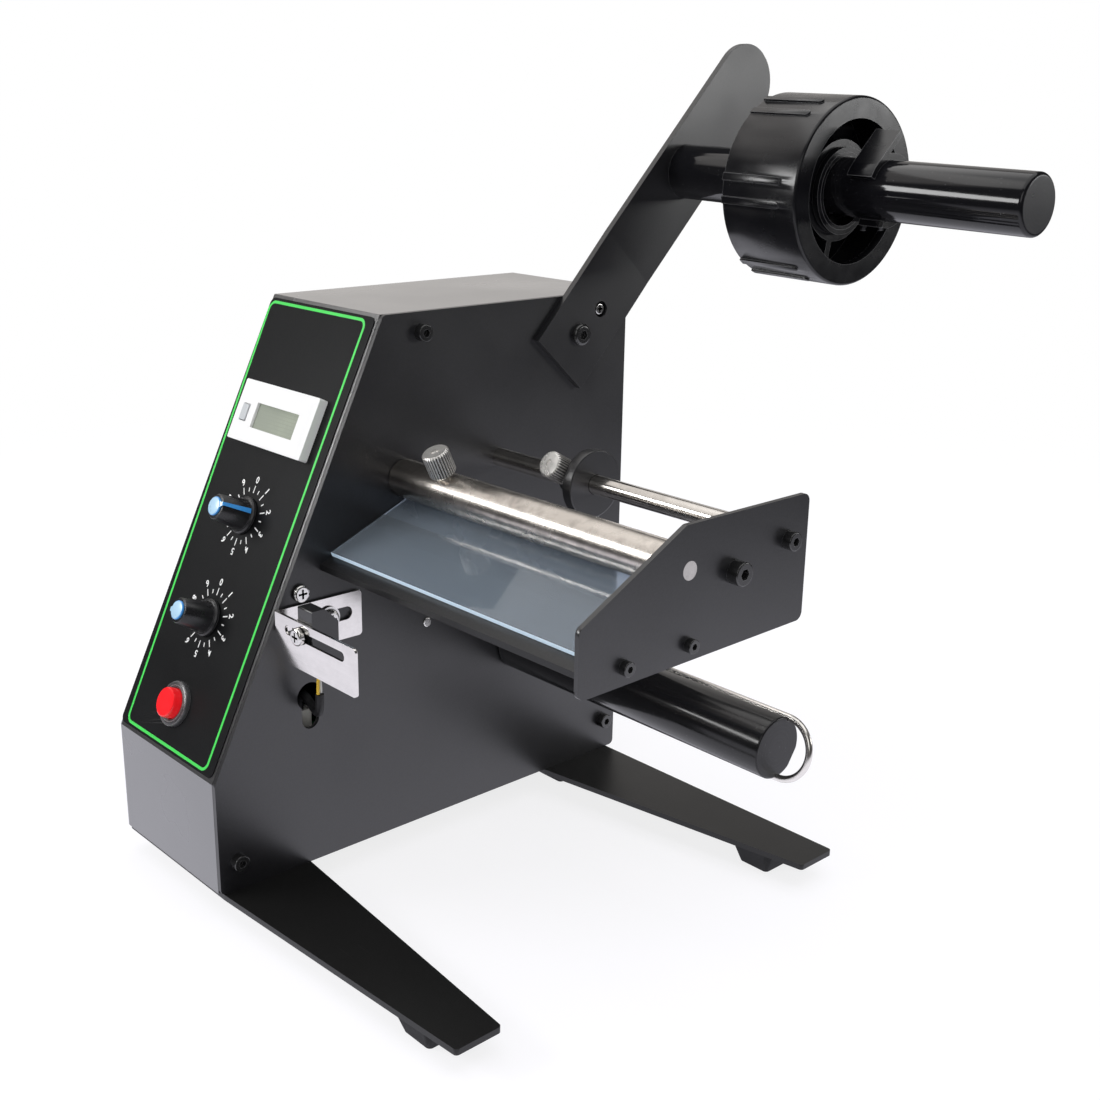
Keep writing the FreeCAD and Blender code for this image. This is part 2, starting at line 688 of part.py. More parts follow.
def bars():
    return ((FRONT_ROOT_Y, FRONT_TIP_Y), (REAR_ROOT_Y, REAR_TIP_Y))


def foot_bar(root_y, tip_y):
    bar = prism_z(bar_outline(root_y, tip_y), -FOOT_BAR_T, 0, FOOT_CORNER_R)
    return bar.cut([rod_z(x, y, -FOOT_BAR_T - SPARE, SPARE, M4_R) for x, y in foot_screw_places()])


def rubber_foot(x, y):
    top = rubber_square(x, y, -FOOT_BAR_T, RUBBER_TOP)
    bottom = rubber_square(x, y, -FOOT_BAR_T - RUBBER_H, RUBBER_BOTTOM)
    return Part.makeLoft([top, bottom], True, True)


def rubber_square(x, y, z, side):
    half = side / 2
    signs = ((-1, -1), (1, -1), (1, 1), (-1, 1))
    corners = [Vector(x + a * half, y + b * half, z) for a, b in signs]
    return rounded_face(corners, side * RUBBER_ROUND_SHARE).OuterWire


def pan_screws():
    """The four screws under the foot bars and the one on the side plate."""
    screws = [pan_screw(Vector(x, y, -FOOT_BAR_T), Vector(0, 0, -1), PAN_SCREW_LENGTH, thread_r=M4_R)
              for x, y in foot_screw_places()]
    side = pan_screw(Vector(0, *PANEL_SCREW_YZ), Vector(1, 0, 0), PAN_SCREW_LENGTH, thread_r=M4_R)
    return screws + [side]


def side_rivet():
    head = rod_x(0, RIVET_HEAD_H, *RIVET_YZ, RIVET_R + RIVET_HEAD_H)
    head = head.makeFillet(RIVET_CROWN_R, edges_beyond(head, RIVET_HEAD_H))
    return head.fuse(rod_x(-SIDE_PLATE_T, 0, *RIVET_YZ, RIVET_R - SEAT)).removeSplitter()


# ---- reel arm, shaft and core holder ----
def reel_arm():
    lean = math.radians(ARM_LEAN)
    tip = ARM_SPAN + ARM_WIDTH / 2 - ARM_BEND
    mitre = ARM_T * math.tan(lean / 2)
    along = (math.sin(lean), math.cos(lean))
    across = (math.cos(lean), -math.sin(lean))
    inner_tip = (along[0] * tip, ARM_BEND + along[1] * tip)
    outer_tip = (inner_tip[0] + across[0] * ARM_T, inner_tip[1] + across[1] * ARM_T)
    profile = ((0, 0), (ARM_T, 0), (ARM_T, ARM_BEND - mitre), outer_tip, inner_tip, (0, ARM_BEND))
    half = ARM_WIDTH / 2
    sheet = prism_z(profile, -half, half)
    stadium = box(-SPARE, ARM_WIDTH, 0, ARM_SPAN, -half, half)
    stadium = stadium.fuse(rod_x(-SPARE, ARM_WIDTH, ARM_SPAN, 0, half))
    arm = sheet.common(stadium)
    arm = arm.cut(rod_x(-SPARE, ARM_T + SPARE, ARM_BOLT_AT, 0, M6_R))
    arm = arm.cut(rod_x(-SPARE, ARM_T + SPARE, ARM_PEG_AT, ARM_PEG_SIDE, ARM_PEG_HOLE_R))
    arm = placed(arm, ARM)
    return arm.cut(placed(rod_x(-ARM_T - SPARE, SPARE, 0, 0, M6_R), REEL))


def arm_bolt():
    top = ARM_T + ARM_BOLT_HEAD_H
    head = rod_x(ARM_T, top, ARM_BOLT_AT, 0, ARM_BOLT_HEAD_R)
    head = head.makeFillet(ARM_BOLT_EDGE_R, edges_beyond(head, top))
    head = head.cut(hexagon_x(top - ARM_BOLT_SOCKET_DEPTH, top, ARM_BOLT_AT, 0, ARM_BOLT_SOCKET_R))
    shank = rod_x(ARM_T - ARM_BOLT_LENGTH, ARM_T, ARM_BOLT_AT, 0, M6_R - SEAT)
    return placed(head.fuse(shank).removeSplitter(), ARM)


def arm_locating_screw():
    base = ARM.multVec(Vector(0, ARM_PEG_AT, ARM_PEG_SIDE))
    return pan_screw(base, Vector(1, 0, 0), PAN_SCREW_LENGTH, head_r=ARM_PEG_HEAD_R)


def reel_shaft():
    shaft = rod_x(0, REEL_LENGTH, 0, 0, REEL_R)
    shaft = shaft.makeFillet(REEL_END_R, edges_beyond(shaft, REEL_LENGTH))
    return placed(shaft.cut(rod_x(0, REEL_SCREW_LENGTH, 0, 0, M6_R)), REEL)


def reel_screw():
    top = -ARM_T - REEL_SCREW_HEAD_H
    head = rod_x(top, -ARM_T, 0, 0, REEL_SCREW_HEAD_R)
    head = head.cut(hexagon_x(top, top + REEL_SCREW_SOCKET_DEPTH, 0, 0, REEL_SCREW_SOCKET_R))
    shank = rod_x(-ARM_T, REEL_SCREW_LENGTH - ARM_T, 0, 0, M6_R - SEAT)
    return placed(head.fuse(shank), REEL)


CORE_END = CORE_START + CORE_WIDTH
SLEEVE_BORE_R = REEL_R + HOLDER_DROP + RUN
SLEEVE_R = SLEEVE_BORE_R + SLEEVE_WALL
HUB_BORE_R = SLEEVE_R + RUN
HUB_R = HUB_BORE_R + HUB_WALL


def holder_sleeve():
    """Loose sleeve that hangs on the reel shaft; the core holder turns on it, in front of its flange."""
    flange_end = HUB_START - GAP
    sleeve = rod_x(flange_end - SLEEVE_FLANGE_T, COLLAR_END, 0, 0, SLEEVE_R)
    flange = rod_x(flange_end - SLEEVE_FLANGE_T, flange_end, 0, 0, SLEEVE_FLANGE_R)
    bore = rod_x(0, REEL_LENGTH, 0, 0, SLEEVE_BORE_R)
    return placed(sleeve.fuse(flange).cut(bore).removeSplitter(), HOLDER)


def sector_x(x0, x1, radius, angles):
    """Solid wedge about the shaft, from the first angle round to the second, from the back upwards."""
    start, end = [math.radians(angle) for angle in angles]
    first, last = [Vector(x0, radius * math.cos(a), radius * math.sin(a)) for a in (start, end)]
    half = (start + end) / 2
    middle = Vector(x0, radius * math.cos(half), radius * math.sin(half))
    centre = Vector(x0, 0, 0)
    outline = Part.Wire([Part.LineSegment(centre, first).toShape(), Part.Arc(first, middle, last).toShape(),
                         Part.LineSegment(last, centre).toShape()])
    return Part.Face(outline).extrude(Vector(x1 - x0, 0, 0))


def grip_bump(x, angle):
    """Small round bump under the spring grip."""
    outward = Vector(0, math.cos(math.radians(angle)), math.sin(math.radians(angle)))
    foot = Vector(x, 0, 0) + outward * (GRIP_R - TONGUE_T / 2)
    return Part.makeCylinder(GRIP_BUMP_R, TONGUE_T / 2 + GRIP_BUMP_RISE, foot, outward)


def holder_collar():
    """Collar in front of the holder, joined by a tail behind the shaft to a spring grip with a tongue."""
    collar = rod_x(HUB_END + GAP, COLLAR_END, 0, -HOLDER_DROP, COLLAR_R)
    tail = sector_x(COLLAR_END - TONGUE_T / 2, TONGUE_START + TONGUE_T, TAIL_R, TAIL_SECTOR)
    grip = sector_x(TONGUE_START, TONGUE_END, GRIP_R, GRIP_SECTOR)
    tongue = box(TONGUE_START, TONGUE_END, 0, TONGUE_UP, GRIP_R - TONGUE_T, GRIP_R)
    tongue.rotate(Vector(), Vector(1, 0, 0), TONGUE_TILT)
    bumps = [grip_bump(*place) for place in GRIP_BUMPS]
    sleeve_space = rod_x(0, COLLAR_END, 0, -HOLDER_DROP, SLEEVE_R + SEAT)
    shaft_space = rod_x(0, REEL_LENGTH, 0, 0, REEL_R + RUN)
    whole = collar.fuse([tail, grip, tongue] + bumps).cut([sleeve_space, shaft_space])
    return placed(whole.removeSplitter(), UPRIGHT_REEL)


def core_rib(angle):
    """Raised spring finger along the holder's rim, round at its front end."""
    low = CORE_R - CORE_WALL / 2
    end = CORE_START + RIB_LENGTH - RIB_W / 2
    finger = box(CORE_START, end, -RIB_W / 2, RIB_W / 2, low, CORE_R + RIB_H)
    finger = finger.fuse(rod_z(end, 0, low, CORE_R + RIB_H, RIB_W / 2))
    finger.rotate(Vector(), Vector(1, 0, 0), angle)
    return finger.common(rod_x(CORE_START, CORE_END, 0, 0, CORE_R + RIB_H))


def core_spoke(angle):
    half = SPOKE_T / 2
    spoke = box(HUB_START, HUB_END, -half, half, HUB_R - HUB_WALL / 2, CORE_R - CORE_WALL / 2)
    spoke.rotate(Vector(), Vector(1, 0, 0), angle)
    return spoke


def core_holder():
    """Holder for a label core: rim, front face, hub, web and spokes, with spring fingers round the rim."""
    inner_r = CORE_R - CORE_WALL
    rim = tube_x(CORE_START, CORE_END, 0, 0, CORE_R, inner_r)
    face = tube_x(CORE_END - CORE_FACE_T, CORE_END, 0, 0, inner_r + CORE_WALL / 2, CORE_FACE_HOLE_R)
    lip = tube_x(CORE_END - CORE_LIP_DEPTH, CORE_END, 0, 0, CORE_FACE_HOLE_R + CORE_LIP_T, CORE_FACE_HOLE_R)
    outer = rim.fuse([face, lip]).removeSplitter()
    front_rim = [e for e in edges_beyond(outer, CORE_END) if e.BoundBox.ZMax > CORE_R - NEAR]
    outer = outer.makeFillet(CORE_EDGE_R, front_rim)
    hub = tube_x(HUB_START, HUB_END, 0, 0, HUB_R, HUB_BORE_R)
    spokes = [core_spoke(SPOKE_ANGLE + 360 / SPOKES * i) for i in range(SPOKES)]
    ribs = [core_rib(RIB_ANGLE + 360 / RIB_GROUPS * i + side * RIB_SPREAD / 2)
            for i in range(RIB_GROUPS) for side in (-1, 1)]
    web_end = CORE_WEB_X + CORE_WEB_T
    web = tube_x(CORE_WEB_X, web_end, 0, 0, inner_r + CORE_WALL / 2, HUB_BORE_R + HUB_WALL / 2)
    return placed(outer.fuse([hub, web] + spokes + ribs).removeSplitter(), HOLDER)


# ---- bed, acrylic plate and outer plate ----
def bed_point(along, below):
    """(y, z) of a point along the bed's slope and below the acrylic's top face."""
    point = BED.multVec(Vector(0, along, -below))
    return point.y, point.z


def peel_bed():
    """Wedge the labels are peeled over: sloping top, thin nose, flat base and a rear ledge."""
    nose_top = bed_point(-BED_NOSE, ACRYLIC_T)
    nose_low = (nose_top[0], nose_top[1] - BED_NOSE_T)
    crest = bed_point(BED_TOP, ACRYLIC_T)
    toe = (nose_top[0] + BED_NOSE_T, BED_BASE_Z)
    outline = (nose_low, toe, (BED_BACK_Y, BED_BASE_Z), (BED_BACK_Y, BED_LEDGE_Z),
               (crest[0], BED_LEDGE_Z), crest, nose_top)
    bed = prism_x(outline, 0, OUTER_INSIDE_X)
    y0, y1 = BED_POCKET_Y
    pocket = box(CAP_SCREW_LENGTH, OUTER_INSIDE_X - CAP_SCREW_LENGTH, y0, y1, BED_BASE_Z - SPARE,
                 BED_LEDGE_Z - BED_POCKET_WALL)
    return bed.cut([pocket] + end_bores(BED_ENDS))


def end_bores(ends):
    """Tapped holes for the screws that come in from both ends."""
    return (bores_for(ends, -SPARE, CAP_SCREW_LENGTH)
            + bores_for(ends, OUTER_INSIDE_X - CAP_SCREW_LENGTH, OUTER_PLATE_X))


def acrylic_plate():
    sheet = box(GAP, OUTER_INSIDE_X, 0, ACRYLIC_DEPTH, -ACRYLIC_T, 0)
    return placed(sheet, BED)


def outer_plate():
    plate = prism_x(OUTER_PLATE_YZ, OUTER_INSIDE_X, OUTER_PLATE_X, OUTER_PLATE_R)
    x0, x1 = OUTER_INSIDE_X - SPARE, OUTER_PLATE_X + SPARE
    cuts = bores_for(OUTER_ENDS, x0, x1)
    cuts.append(rod_x(x0, x1, TUBE_Y, TUBE_Z, TUBE_PIN_R + SEAT))
    return plate.cut(cuts)


def socket_screws():
    """Cap screws: the cover's, the outer plate's, and from inside the housing into the bed and the rods."""
    screws = [cap_screw(0, y, z, M4_R) for y, z in COVER_SCREWS_YZ]
    screws += [cap_screw(OUTER_PLATE_X, *end) for end in OUTER_ENDS]
    return screws + [cap_screw(INSIDE_X, *end, facing=-1) for end in OUTER_ENDS + (TUBE_END,)]


def cross_rod(end):
    """Rod between the plates, tapped at both ends."""
    return rod_x(0, OUTER_INSIDE_X, end[0], end[1], ROD_R).cut(end_bores((end,)))


# ---- press tube and edge guide ----
def press_core():
    """Fixed bar inside the press tube, its reduced end held in the outer plate."""
    core = rod_x(0, OUTER_INSIDE_X, TUBE_Y, TUBE_Z, TUBE_CORE_R)
    pin = rod_x(OUTER_INSIDE_X, OUTER_PLATE_X, TUBE_Y, TUBE_Z, TUBE_PIN_R)
    return core.fuse(pin).cut(rod_x(-SPARE, CAP_SCREW_LENGTH, TUBE_Y, TUBE_Z, M4_R)).removeSplitter()


def tilted_out(tilt):
    """Unit vector that leans from straight up towards the front."""
    return Vector(0, -math.sin(math.radians(tilt)), math.cos(math.radians(tilt)))


def stem_hole(x, y, z, tilt, wall_r):
    """Hole for a thumb screw's stem, from the axis out through a wall of this radius."""
    return Part.makeCylinder(KNOB_STEM_R + RUN, wall_r + SPARE, Vector(x, y, z), tilted_out(tilt))


def press_tube():
    tube = tube_x(GAP, OUTER_INSIDE_X - GAP, TUBE_Y, TUBE_Z, TUBE_R, TUBE_CORE_R + RUN)
    return tube.cut(stem_hole(TUBE_KNOB_X, TUBE_Y, TUBE_Z, TUBE_KNOB_TILT, TUBE_R))


def press_thumb_screw():
    return thumb_screw(Vector(TUBE_KNOB_X, TUBE_Y, TUBE_Z), tilted_out(TUBE_KNOB_TILT),
                       TUBE_R + KNOB_STAND, TUBE_CORE_R + RUN)


def edge_guide():
    """Disc on a hub that sets the edge of the label web on the guide rod."""
    back = DISC_FACE_X - DISC_T
    disc = rod_x(back, DISC_FACE_X, GUIDE_Y, GUIDE_Z, DISC_R)
    disc = disc.makeFillet(DISC_EDGE_R, [e for e in disc.Edges if len(e.Vertexes) == 1])
    hub = rod_x(back - DISC_HUB_LENGTH, back, GUIDE_Y, GUIDE_Z, DISC_HUB_R)
    guide = disc.fuse(hub).cut(rod_x(0, OUTER_INSIDE_X, GUIDE_Y, GUIDE_Z, ROD_R + RUN))
    return guide.cut(stem_hole(GUIDE_KNOB_X, GUIDE_Y, GUIDE_Z, GUIDE_KNOB_TILT, DISC_HUB_R))


def guide_thumb_screw():
    return thumb_screw(Vector(GUIDE_KNOB_X, GUIDE_Y, GUIDE_Z), tilted_out(GUIDE_KNOB_TILT),
                       DISC_HUB_R + KNOB_STAND, ROD_R + RUN)


# ---- take-up spindle and drive ----
def clip_leg_place(angle):
    return (TAKEUP_Y + CLIP_SEAT_R * math.cos(math.radians(angle)),
            TAKEUP_Z + CLIP_SEAT_R * math.sin(math.radians(angle)))


def take_up_spindle():
    """Driven spindle with its shaft: a flat and two grooves along it take the backing paper's clip."""
    spindle = rod_x(TAKEUP_ROOT_X, TAKEUP_END_X, TAKEUP_Y, TAKEUP_Z, TAKEUP_R)
    spindle = spindle.makeFillet(TAKEUP_END_R, edges_beyond(spindle, TAKEUP_END_X))
    flat = box(0, OUTER_PLATE_X, TAKEUP_R - TAKEUP_FLAT, TAKEUP_R + SPARE, -TAKEUP_R, TAKEUP_R)
    flat.rotate(Vector(), Vector(1, 0, 0), TAKEUP_FLAT_ANGLE)
    flat.translate(Vector(0, TAKEUP_Y, TAKEUP_Z))
    groove_x, groove_r = CLIP_START_X - CLIP_PLAY, CLIP_WIRE_R + CLIP_PLAY
    grooves = [rod_x(groove_x, OUTER_PLATE_X, *clip_leg_place(angle), groove_r) for angle in CLIP_ANGLES]
    shaft = rod_x(-DRIVE_SHAFT_BACK, TAKEUP_ROOT_X, TAKEUP_Y, TAKEUP_Z, DRIVE_SHAFT_R)
    return spindle.cut([flat] + grooves).fuse(shaft)


def web_clip():
    """U-shaped wire that clamps the backing paper on the spindle."""
    (y0, z0), (y1, z1) = [clip_leg_place(a) for a in CLIP_ANGLES]
    top = Vector(TAKEUP_END_X, y0, z0)
    low = Vector(TAKEUP_END_X, y1, z1)
    middle = (top + low) * 0.5
    radius = (top - low).Length / 2
    crown = middle + Vector(radius, 0, 0)
    path = Part.Wire([Part.LineSegment(Vector(CLIP_START_X, y0, z0), top).toShape(),
                      Part.Arc(top, crown, low).toShape(),
                      Part.LineSegment(low, Vector(CLIP_START_X, y1, z1)).toShape()])
    section = Part.Wire(Part.makeCircle(CLIP_WIRE_R, Vector(CLIP_START_X, y0, z0), Vector(1, 0, 0)))
    return path.makePipeShell([section], True, False)


def spindle_bush():
    return tube_x(INSIDE_X - BUSH_LENGTH, INSIDE_X, TAKEUP_Y, TAKEUP_Z, BUSH_R, DRIVE_SHAFT_R + RUN)


def pulley(y, z, radius, bore=0.0):
    """Belt pulley with a rim on each side."""
    x0, x1 = PULLEY_X - PULLEY_W, PULLEY_X
    wheel = rod_x(x0, x1, y, z, radius)
    rims = [rod_x(x0, x0 + RIM_T, y, z, radius + BELT_T), rod_x(x1 - RIM_T, x1, y, z, radius + BELT_T)]
    wheel = wheel.fuse(rims).removeSplitter()
    return wheel.cut(rod_x(x0, x1, y, z, bore)) if bore else wheel


def motor_pulley():
    """Pulley in one piece with the motor's output shaft."""
    shaft = rod_x(MOTOR_FACE_X - MOTOR_SHAFT_DEPTH + GAP, PULLEY_X, MOTOR_Y, MOTOR_Z, MOTOR_SHAFT_R)
    return pulley(MOTOR_Y, MOTOR_Z, MOTOR_PULLEY_R).fuse(shaft).removeSplitter()


def belt_band(inset):
    """Solid between the two pulleys' common tangents, this far outside each pulley."""
    big, small = TAKEUP_PULLEY_R + inset, MOTOR_PULLEY_R + inset
    dy, dz = MOTOR_Y - TAKEUP_Y, MOTOR_Z - TAKEUP_Z
    span = math.hypot(dy, dz)
    heading = math.atan2(dz, dy)
    swing = math.acos((big - small) / span)
    corners = []
    for y, z, radius, sign in ((TAKEUP_Y, TAKEUP_Z, big, 1), (MOTOR_Y, MOTOR_Z, small, 1),
                               (MOTOR_Y, MOTOR_Z, small, -1), (TAKEUP_Y, TAKEUP_Z, big, -1)):
        angle = heading + sign * swing
        corners.append((y + radius * math.cos(angle), z + radius * math.sin(angle)))
    x0, x1 = PULLEY_X - PULLEY_W + RIM_T + GAP, PULLEY_X - RIM_T - GAP
    band = prism_x(corners, x0, x1)
    return band.fuse([rod_x(x0, x1, TAKEUP_Y, TAKEUP_Z, big), rod_x(x0, x1, MOTOR_Y, MOTOR_Z, small)])


def drive_belt():
    return belt_band(BELT_PLAY + BELT_T).cut(belt_band(BELT_PLAY)).removeSplitter()


def gear_motor():
    x1 = MOTOR_FACE_X
    motor = rod_x(x1 - MOTOR_LENGTH, x1, MOTOR_Y, MOTOR_Z, MOTOR_R)
    rear_edges = [edge for edge in motor.Edges if edge.BoundBox.XMax < x1 - MOTOR_LENGTH + NEAR]
    motor = motor.makeFillet(MOTOR_EDGE_R, rear_edges)
    return motor.cut(rod_x(x1 - MOTOR_SHAFT_DEPTH, x1, MOTOR_Y, MOTOR_Z, MOTOR_SHAFT_R + RUN))


def motor_bracket():
    x0 = MOTOR_FACE_X
    y0, y1 = MOTOR_Y - BRACKET_W / 2, MOTOR_Y + BRACKET_W / 2
    wall = box(x0, x0 + BRACKET_T, y0, y1, BOTTOM_T, BRACKET_H)
    base = box(x0 - BRACKET_FOOT, x0 + BRACKET_T, y0, y1, BOTTOM_T, BOTTOM_T + BRACKET_T)
    bracket = wall.fuse(base).removeSplitter()
    return bracket.cut(rod_x(x0 - SPARE, x0 + SPARE, MOTOR_Y, MOTOR_Z, MOTOR_BOSS_R))


# ---- electrics ----
def on_board(size, place):
    """Block on the board's left side, its lower front corner at place from the board's own."""
    x1 = BOARD_X - BOARD_T
    y0, z0 = BOARD_Y[0] + place[0], BOARD_Z[0] + place[1]
    return box(x1 - size[0], x1, y0, y0 + size[1], z0, z0 + size[2])


def circuit_board():
    """Board with its relay, chip, terminal strip and capacitors on the left side."""
    x1 = BOARD_X - BOARD_T
    board = box(x1, BOARD_X, *BOARD_Y, *BOARD_Z)
    blocks = [on_board(RELAY_SIZE, RELAY_AT), on_board(CHIP_SIZE, CHIP_AT),
              on_board(TERMINAL_SIZE, TERMINAL_AT)]
    capacitors = [rod_x(x1 - CAPACITOR_LENGTH, x1, BOARD_Y[0] + y, BOARD_Z[0] + z, CAPACITOR_R)
                  for y, z in CAPACITORS_AT]
    return board.fuse(blocks + capacitors)


def board_standoffs():
    return [rod_x(BOARD_X, INSIDE_X, y, z, STANDOFF_R) for y, z in board_standoff_places()]


def sensor_plug():
    """Plug on the board's face, from which the sensor's lead rises."""
    x, y, z = LEAD_ROUTE[0]
    return box(BOARD_X, x + LEAD_R + PLUG_COVER, y - PLUG_W / 2, y + PLUG_W / 2, z - PLUG_H, z)


def power_supply():
    x = HOUSING_LEFT + SUPPLY_WALL_INSET
    across, along, height = SUPPLY_SIZE
    return box(x, x + across, SUPPLY_Y, SUPPLY_Y + along, BOTTOM_T, BOTTOM_T + height)


def power_inlet():
    """Mains inlet in the back wall: flange outside, socket body inside with three pins."""
    back = HOUSING_DEPTH
    w, h = INLET_W / 2, INLET_H / 2
    flange_h = h + INLET_FLANGE_RIM
    flange = box(INLET_X - INLET_FLANGE_W / 2, INLET_X + INLET_FLANGE_W / 2, back, back + INLET_FLANGE_T,
                 INLET_Z - flange_h, INLET_Z + flange_h)
    body = box(INLET_X - w, INLET_X + w, back - INLET_DEPTH, back, INLET_Z - h, INLET_Z + h)
    floor_y = back - INLET_DEPTH + INLET_WALL
    well = box(INLET_X - w + INLET_WALL, INLET_X + w - INLET_WALL, floor_y, back + SPARE,
               INLET_Z - h + INLET_WALL, INLET_Z + h - INLET_WALL)
    holes = [Part.makeCylinder(M3_R, 2 * SPARE, Vector(INLET_X + dx, back - SPARE, INLET_Z), Vector(0, 1, 0))
             for dx in (-INLET_HOLES / 2, INLET_HOLES / 2)]
    pins = [inlet_pin(0, PIN_OFFSET), inlet_pin(-PIN_SPACING, -PIN_OFFSET),
            inlet_pin(PIN_SPACING, -PIN_OFFSET)]
    return flange.fuse(body).cut([well] + holes).fuse(pins).removeSplitter()


def inlet_pin(across, up):
    """Flat contact pin that stands on the socket's floor."""
    x, z = INLET_X + across, INLET_Z + up
    floor_y = HOUSING_DEPTH - INLET_DEPTH + INLET_WALL
    return box(x - PIN_W / 2, x + PIN_W / 2, floor_y - INLET_WALL / 2, floor_y + PIN_LENGTH,
               z - PIN_H / 2, z + PIN_H / 2)


# ---- controls ----
def counter_case():
    x0, x1 = COUNTER_X - COUNTER_W / 2, COUNTER_X + COUNTER_W / 2
    s0, s1 = COUNTER_S - COUNTER_H / 2, COUNTER_S + COUNTER_H / 2
    top = OVERLAY_T + COUNTER_PROUD
    bezel = prism_z(((x0, s0), (x1, s0), (x1, s1), (x0, s1)), OVERLAY_T, top, COUNTER_CORNER_R)
    body = box(COUNTER_X - COUNTER_BODY_W / 2 + SEAT, COUNTER_X + COUNTER_BODY_W / 2 - SEAT,
               COUNTER_S - COUNTER_BODY_H / 2 + SEAT, COUNTER_S + COUNTER_BODY_H / 2 - SEAT,
               -COUNTER_BODY_DEPTH, OVERLAY_T)
    window = box(LCD_X - LCD_W / 2, LCD_X + LCD_W / 2, LCD_S - LCD_H / 2, LCD_S + LCD_H / 2,
                 top - LCD_SUNK - LCD_T, top + SPARE)
    key_well = box(RESET_X - RESET_W / 2 - GAP, RESET_X + RESET_W / 2 + GAP, RESET_S - RESET_H / 2 - GAP,
                   RESET_S + RESET_H / 2 + GAP, top - RESET_DEPTH - RESET_TRAVEL - GAP, top + SPARE)
    return placed(bezel.fuse(body).cut([window, key_well]).removeSplitter(), PANEL)


def counter_display():
    top = OVERLAY_T + COUNTER_PROUD - LCD_SUNK
    w, h = LCD_W / 2, LCD_H / 2
    return placed(box(LCD_X - w, LCD_X + w, LCD_S - h, LCD_S + h, top - LCD_T, top), PANEL)


def reset_key():
    top = OVERLAY_T + COUNTER_PROUD
    w, h = RESET_W / 2, RESET_H / 2
    key = box(RESET_X - w, RESET_X + w, RESET_S - h, RESET_S + h, top - RESET_DEPTH, top + RESET_PROUD)
    return placed(key, PANEL)


def potentiometer(s):
    """Fixed part of a dial: case behind the panel and bush through it."""
    case = rod_z(DIAL_X, s, -SHELL_T - POT_BODY_DEPTH, -SHELL_T, POT_BODY_R)
    bush = rod_z(DIAL_X, s, -SHELL_T, OVERLAY_T + DIAL_LIFT, POT_BUSH_R - SEAT)
    bore = rod_z(DIAL_X, s, -SHELL_T - POT_BORE_DEPTH, DIAL_BASE, POT_SHAFT_R + RUN)
    return placed(case.fuse(bush).cut(bore).removeSplitter(), PANEL)


def dial_body(s, extra):
    """Tapered grip of a control knob, grown outwards by extra."""
    return Part.makeCone(DIAL_BODY_R + extra, DIAL_KNOB_TOP_R + extra, DIAL_KNOB_H - DIAL_SKIRT_H,
                         Vector(DIAL_X, s, DIAL_BASE + DIAL_SKIRT_H))


def dial_knob(s):
    """Control knob with its skirt, in one piece with the potentiometer's shaft."""
    skirt = rod_z(DIAL_X, s, DIAL_BASE, DIAL_BASE + DIAL_SKIRT_H, DIAL_KNOB_R)
    shaft = rod_z(DIAL_X, s, GAP - SHELL_T - POT_BORE_DEPTH, DIAL_BASE + DIAL_SKIRT_H, POT_SHAFT_R)
    return placed(skirt.fuse([dial_body(s, 0), shaft]).removeSplitter(), PANEL)


def dial_cap(s, pointer):
    """Coloured disc on the knob's end, its pointer line turned clockwise from the top."""
    top = DIAL_BASE + DIAL_KNOB_H
    cap = rod_z(DIAL_X, s, top, top + DIAL_CAP_H, DIAL_CAP_R)
    cap = cap.makeFillet(DIAL_CAP_EDGE_R, edges_above(cap, top + DIAL_CAP_H))
    half = DIAL_POINTER_W / 2
    strip = box(DIAL_X - half, DIAL_X + half, s, s + DIAL_KNOB_R, DIAL_BASE + DIAL_SKIRT_H, top)
    arm = box(DIAL_X - half, DIAL_X + half, s + DIAL_CAP_R / 2, s + DIAL_KNOB_TOP_R + DIAL_POINTER_H,
              top, top + DIAL_LINE_H)
    line = strip.common(dial_body(s, DIAL_POINTER_H)).cut(dial_body(s, 0)).fuse(arm)
    line.rotate(Vector(DIAL_X, s, 0), Vector(0, 0, 1), -pointer)
    return placed(cap.fuse(line).removeSplitter(), PANEL)


def power_button():
    """Round push button cap with the stem that reaches into the switch."""
    top = OVERLAY_T + BUTTON_PROUD
    cap = rod_z(BUTTON_X, BUTTON_S, BUTTON_TRAVEL + GAP - BUTTON_WELL, top, BUTTON_R)
    cap = cap.makeFillet(BUTTON_EDGE_R, edges_above(cap, top))
    stem = rod_z(BUTTON_X, BUTTON_S, -BUTTON_STEM_END, 0, BUTTON_STEM_R)
    return placed(cap.fuse(stem).removeSplitter(), PANEL)


def button_bezel():
    """Bezel ring and switch case: the cap sinks into its well."""
    ring = rod_z(BUTTON_X, BUTTON_S, OVERLAY_T, OVERLAY_T + BUTTON_BEZEL_H, BUTTON_BEZEL_R)
    neck = rod_z(BUTTON_X, BUTTON_S, -SHELL_T, OVERLAY_T, BUTTON_NECK_R - SEAT)
    case = rod_z(BUTTON_X, BUTTON_S, -BUTTON_BODY_DEPTH, -SHELL_T, BUTTON_BEZEL_R)
    well = rod_z(BUTTON_X, BUTTON_S, -BUTTON_WELL, BUTTON_PROUD, BUTTON_R + GAP)
    bore = rod_z(BUTTON_X, BUTTON_S, -BUTTON_STEM_END - BUTTON_TRAVEL - GAP, 0, BUTTON_STEM_R + GAP)
    return placed(ring.fuse([neck, case]).cut([well, bore]).removeSplitter(), PANEL)


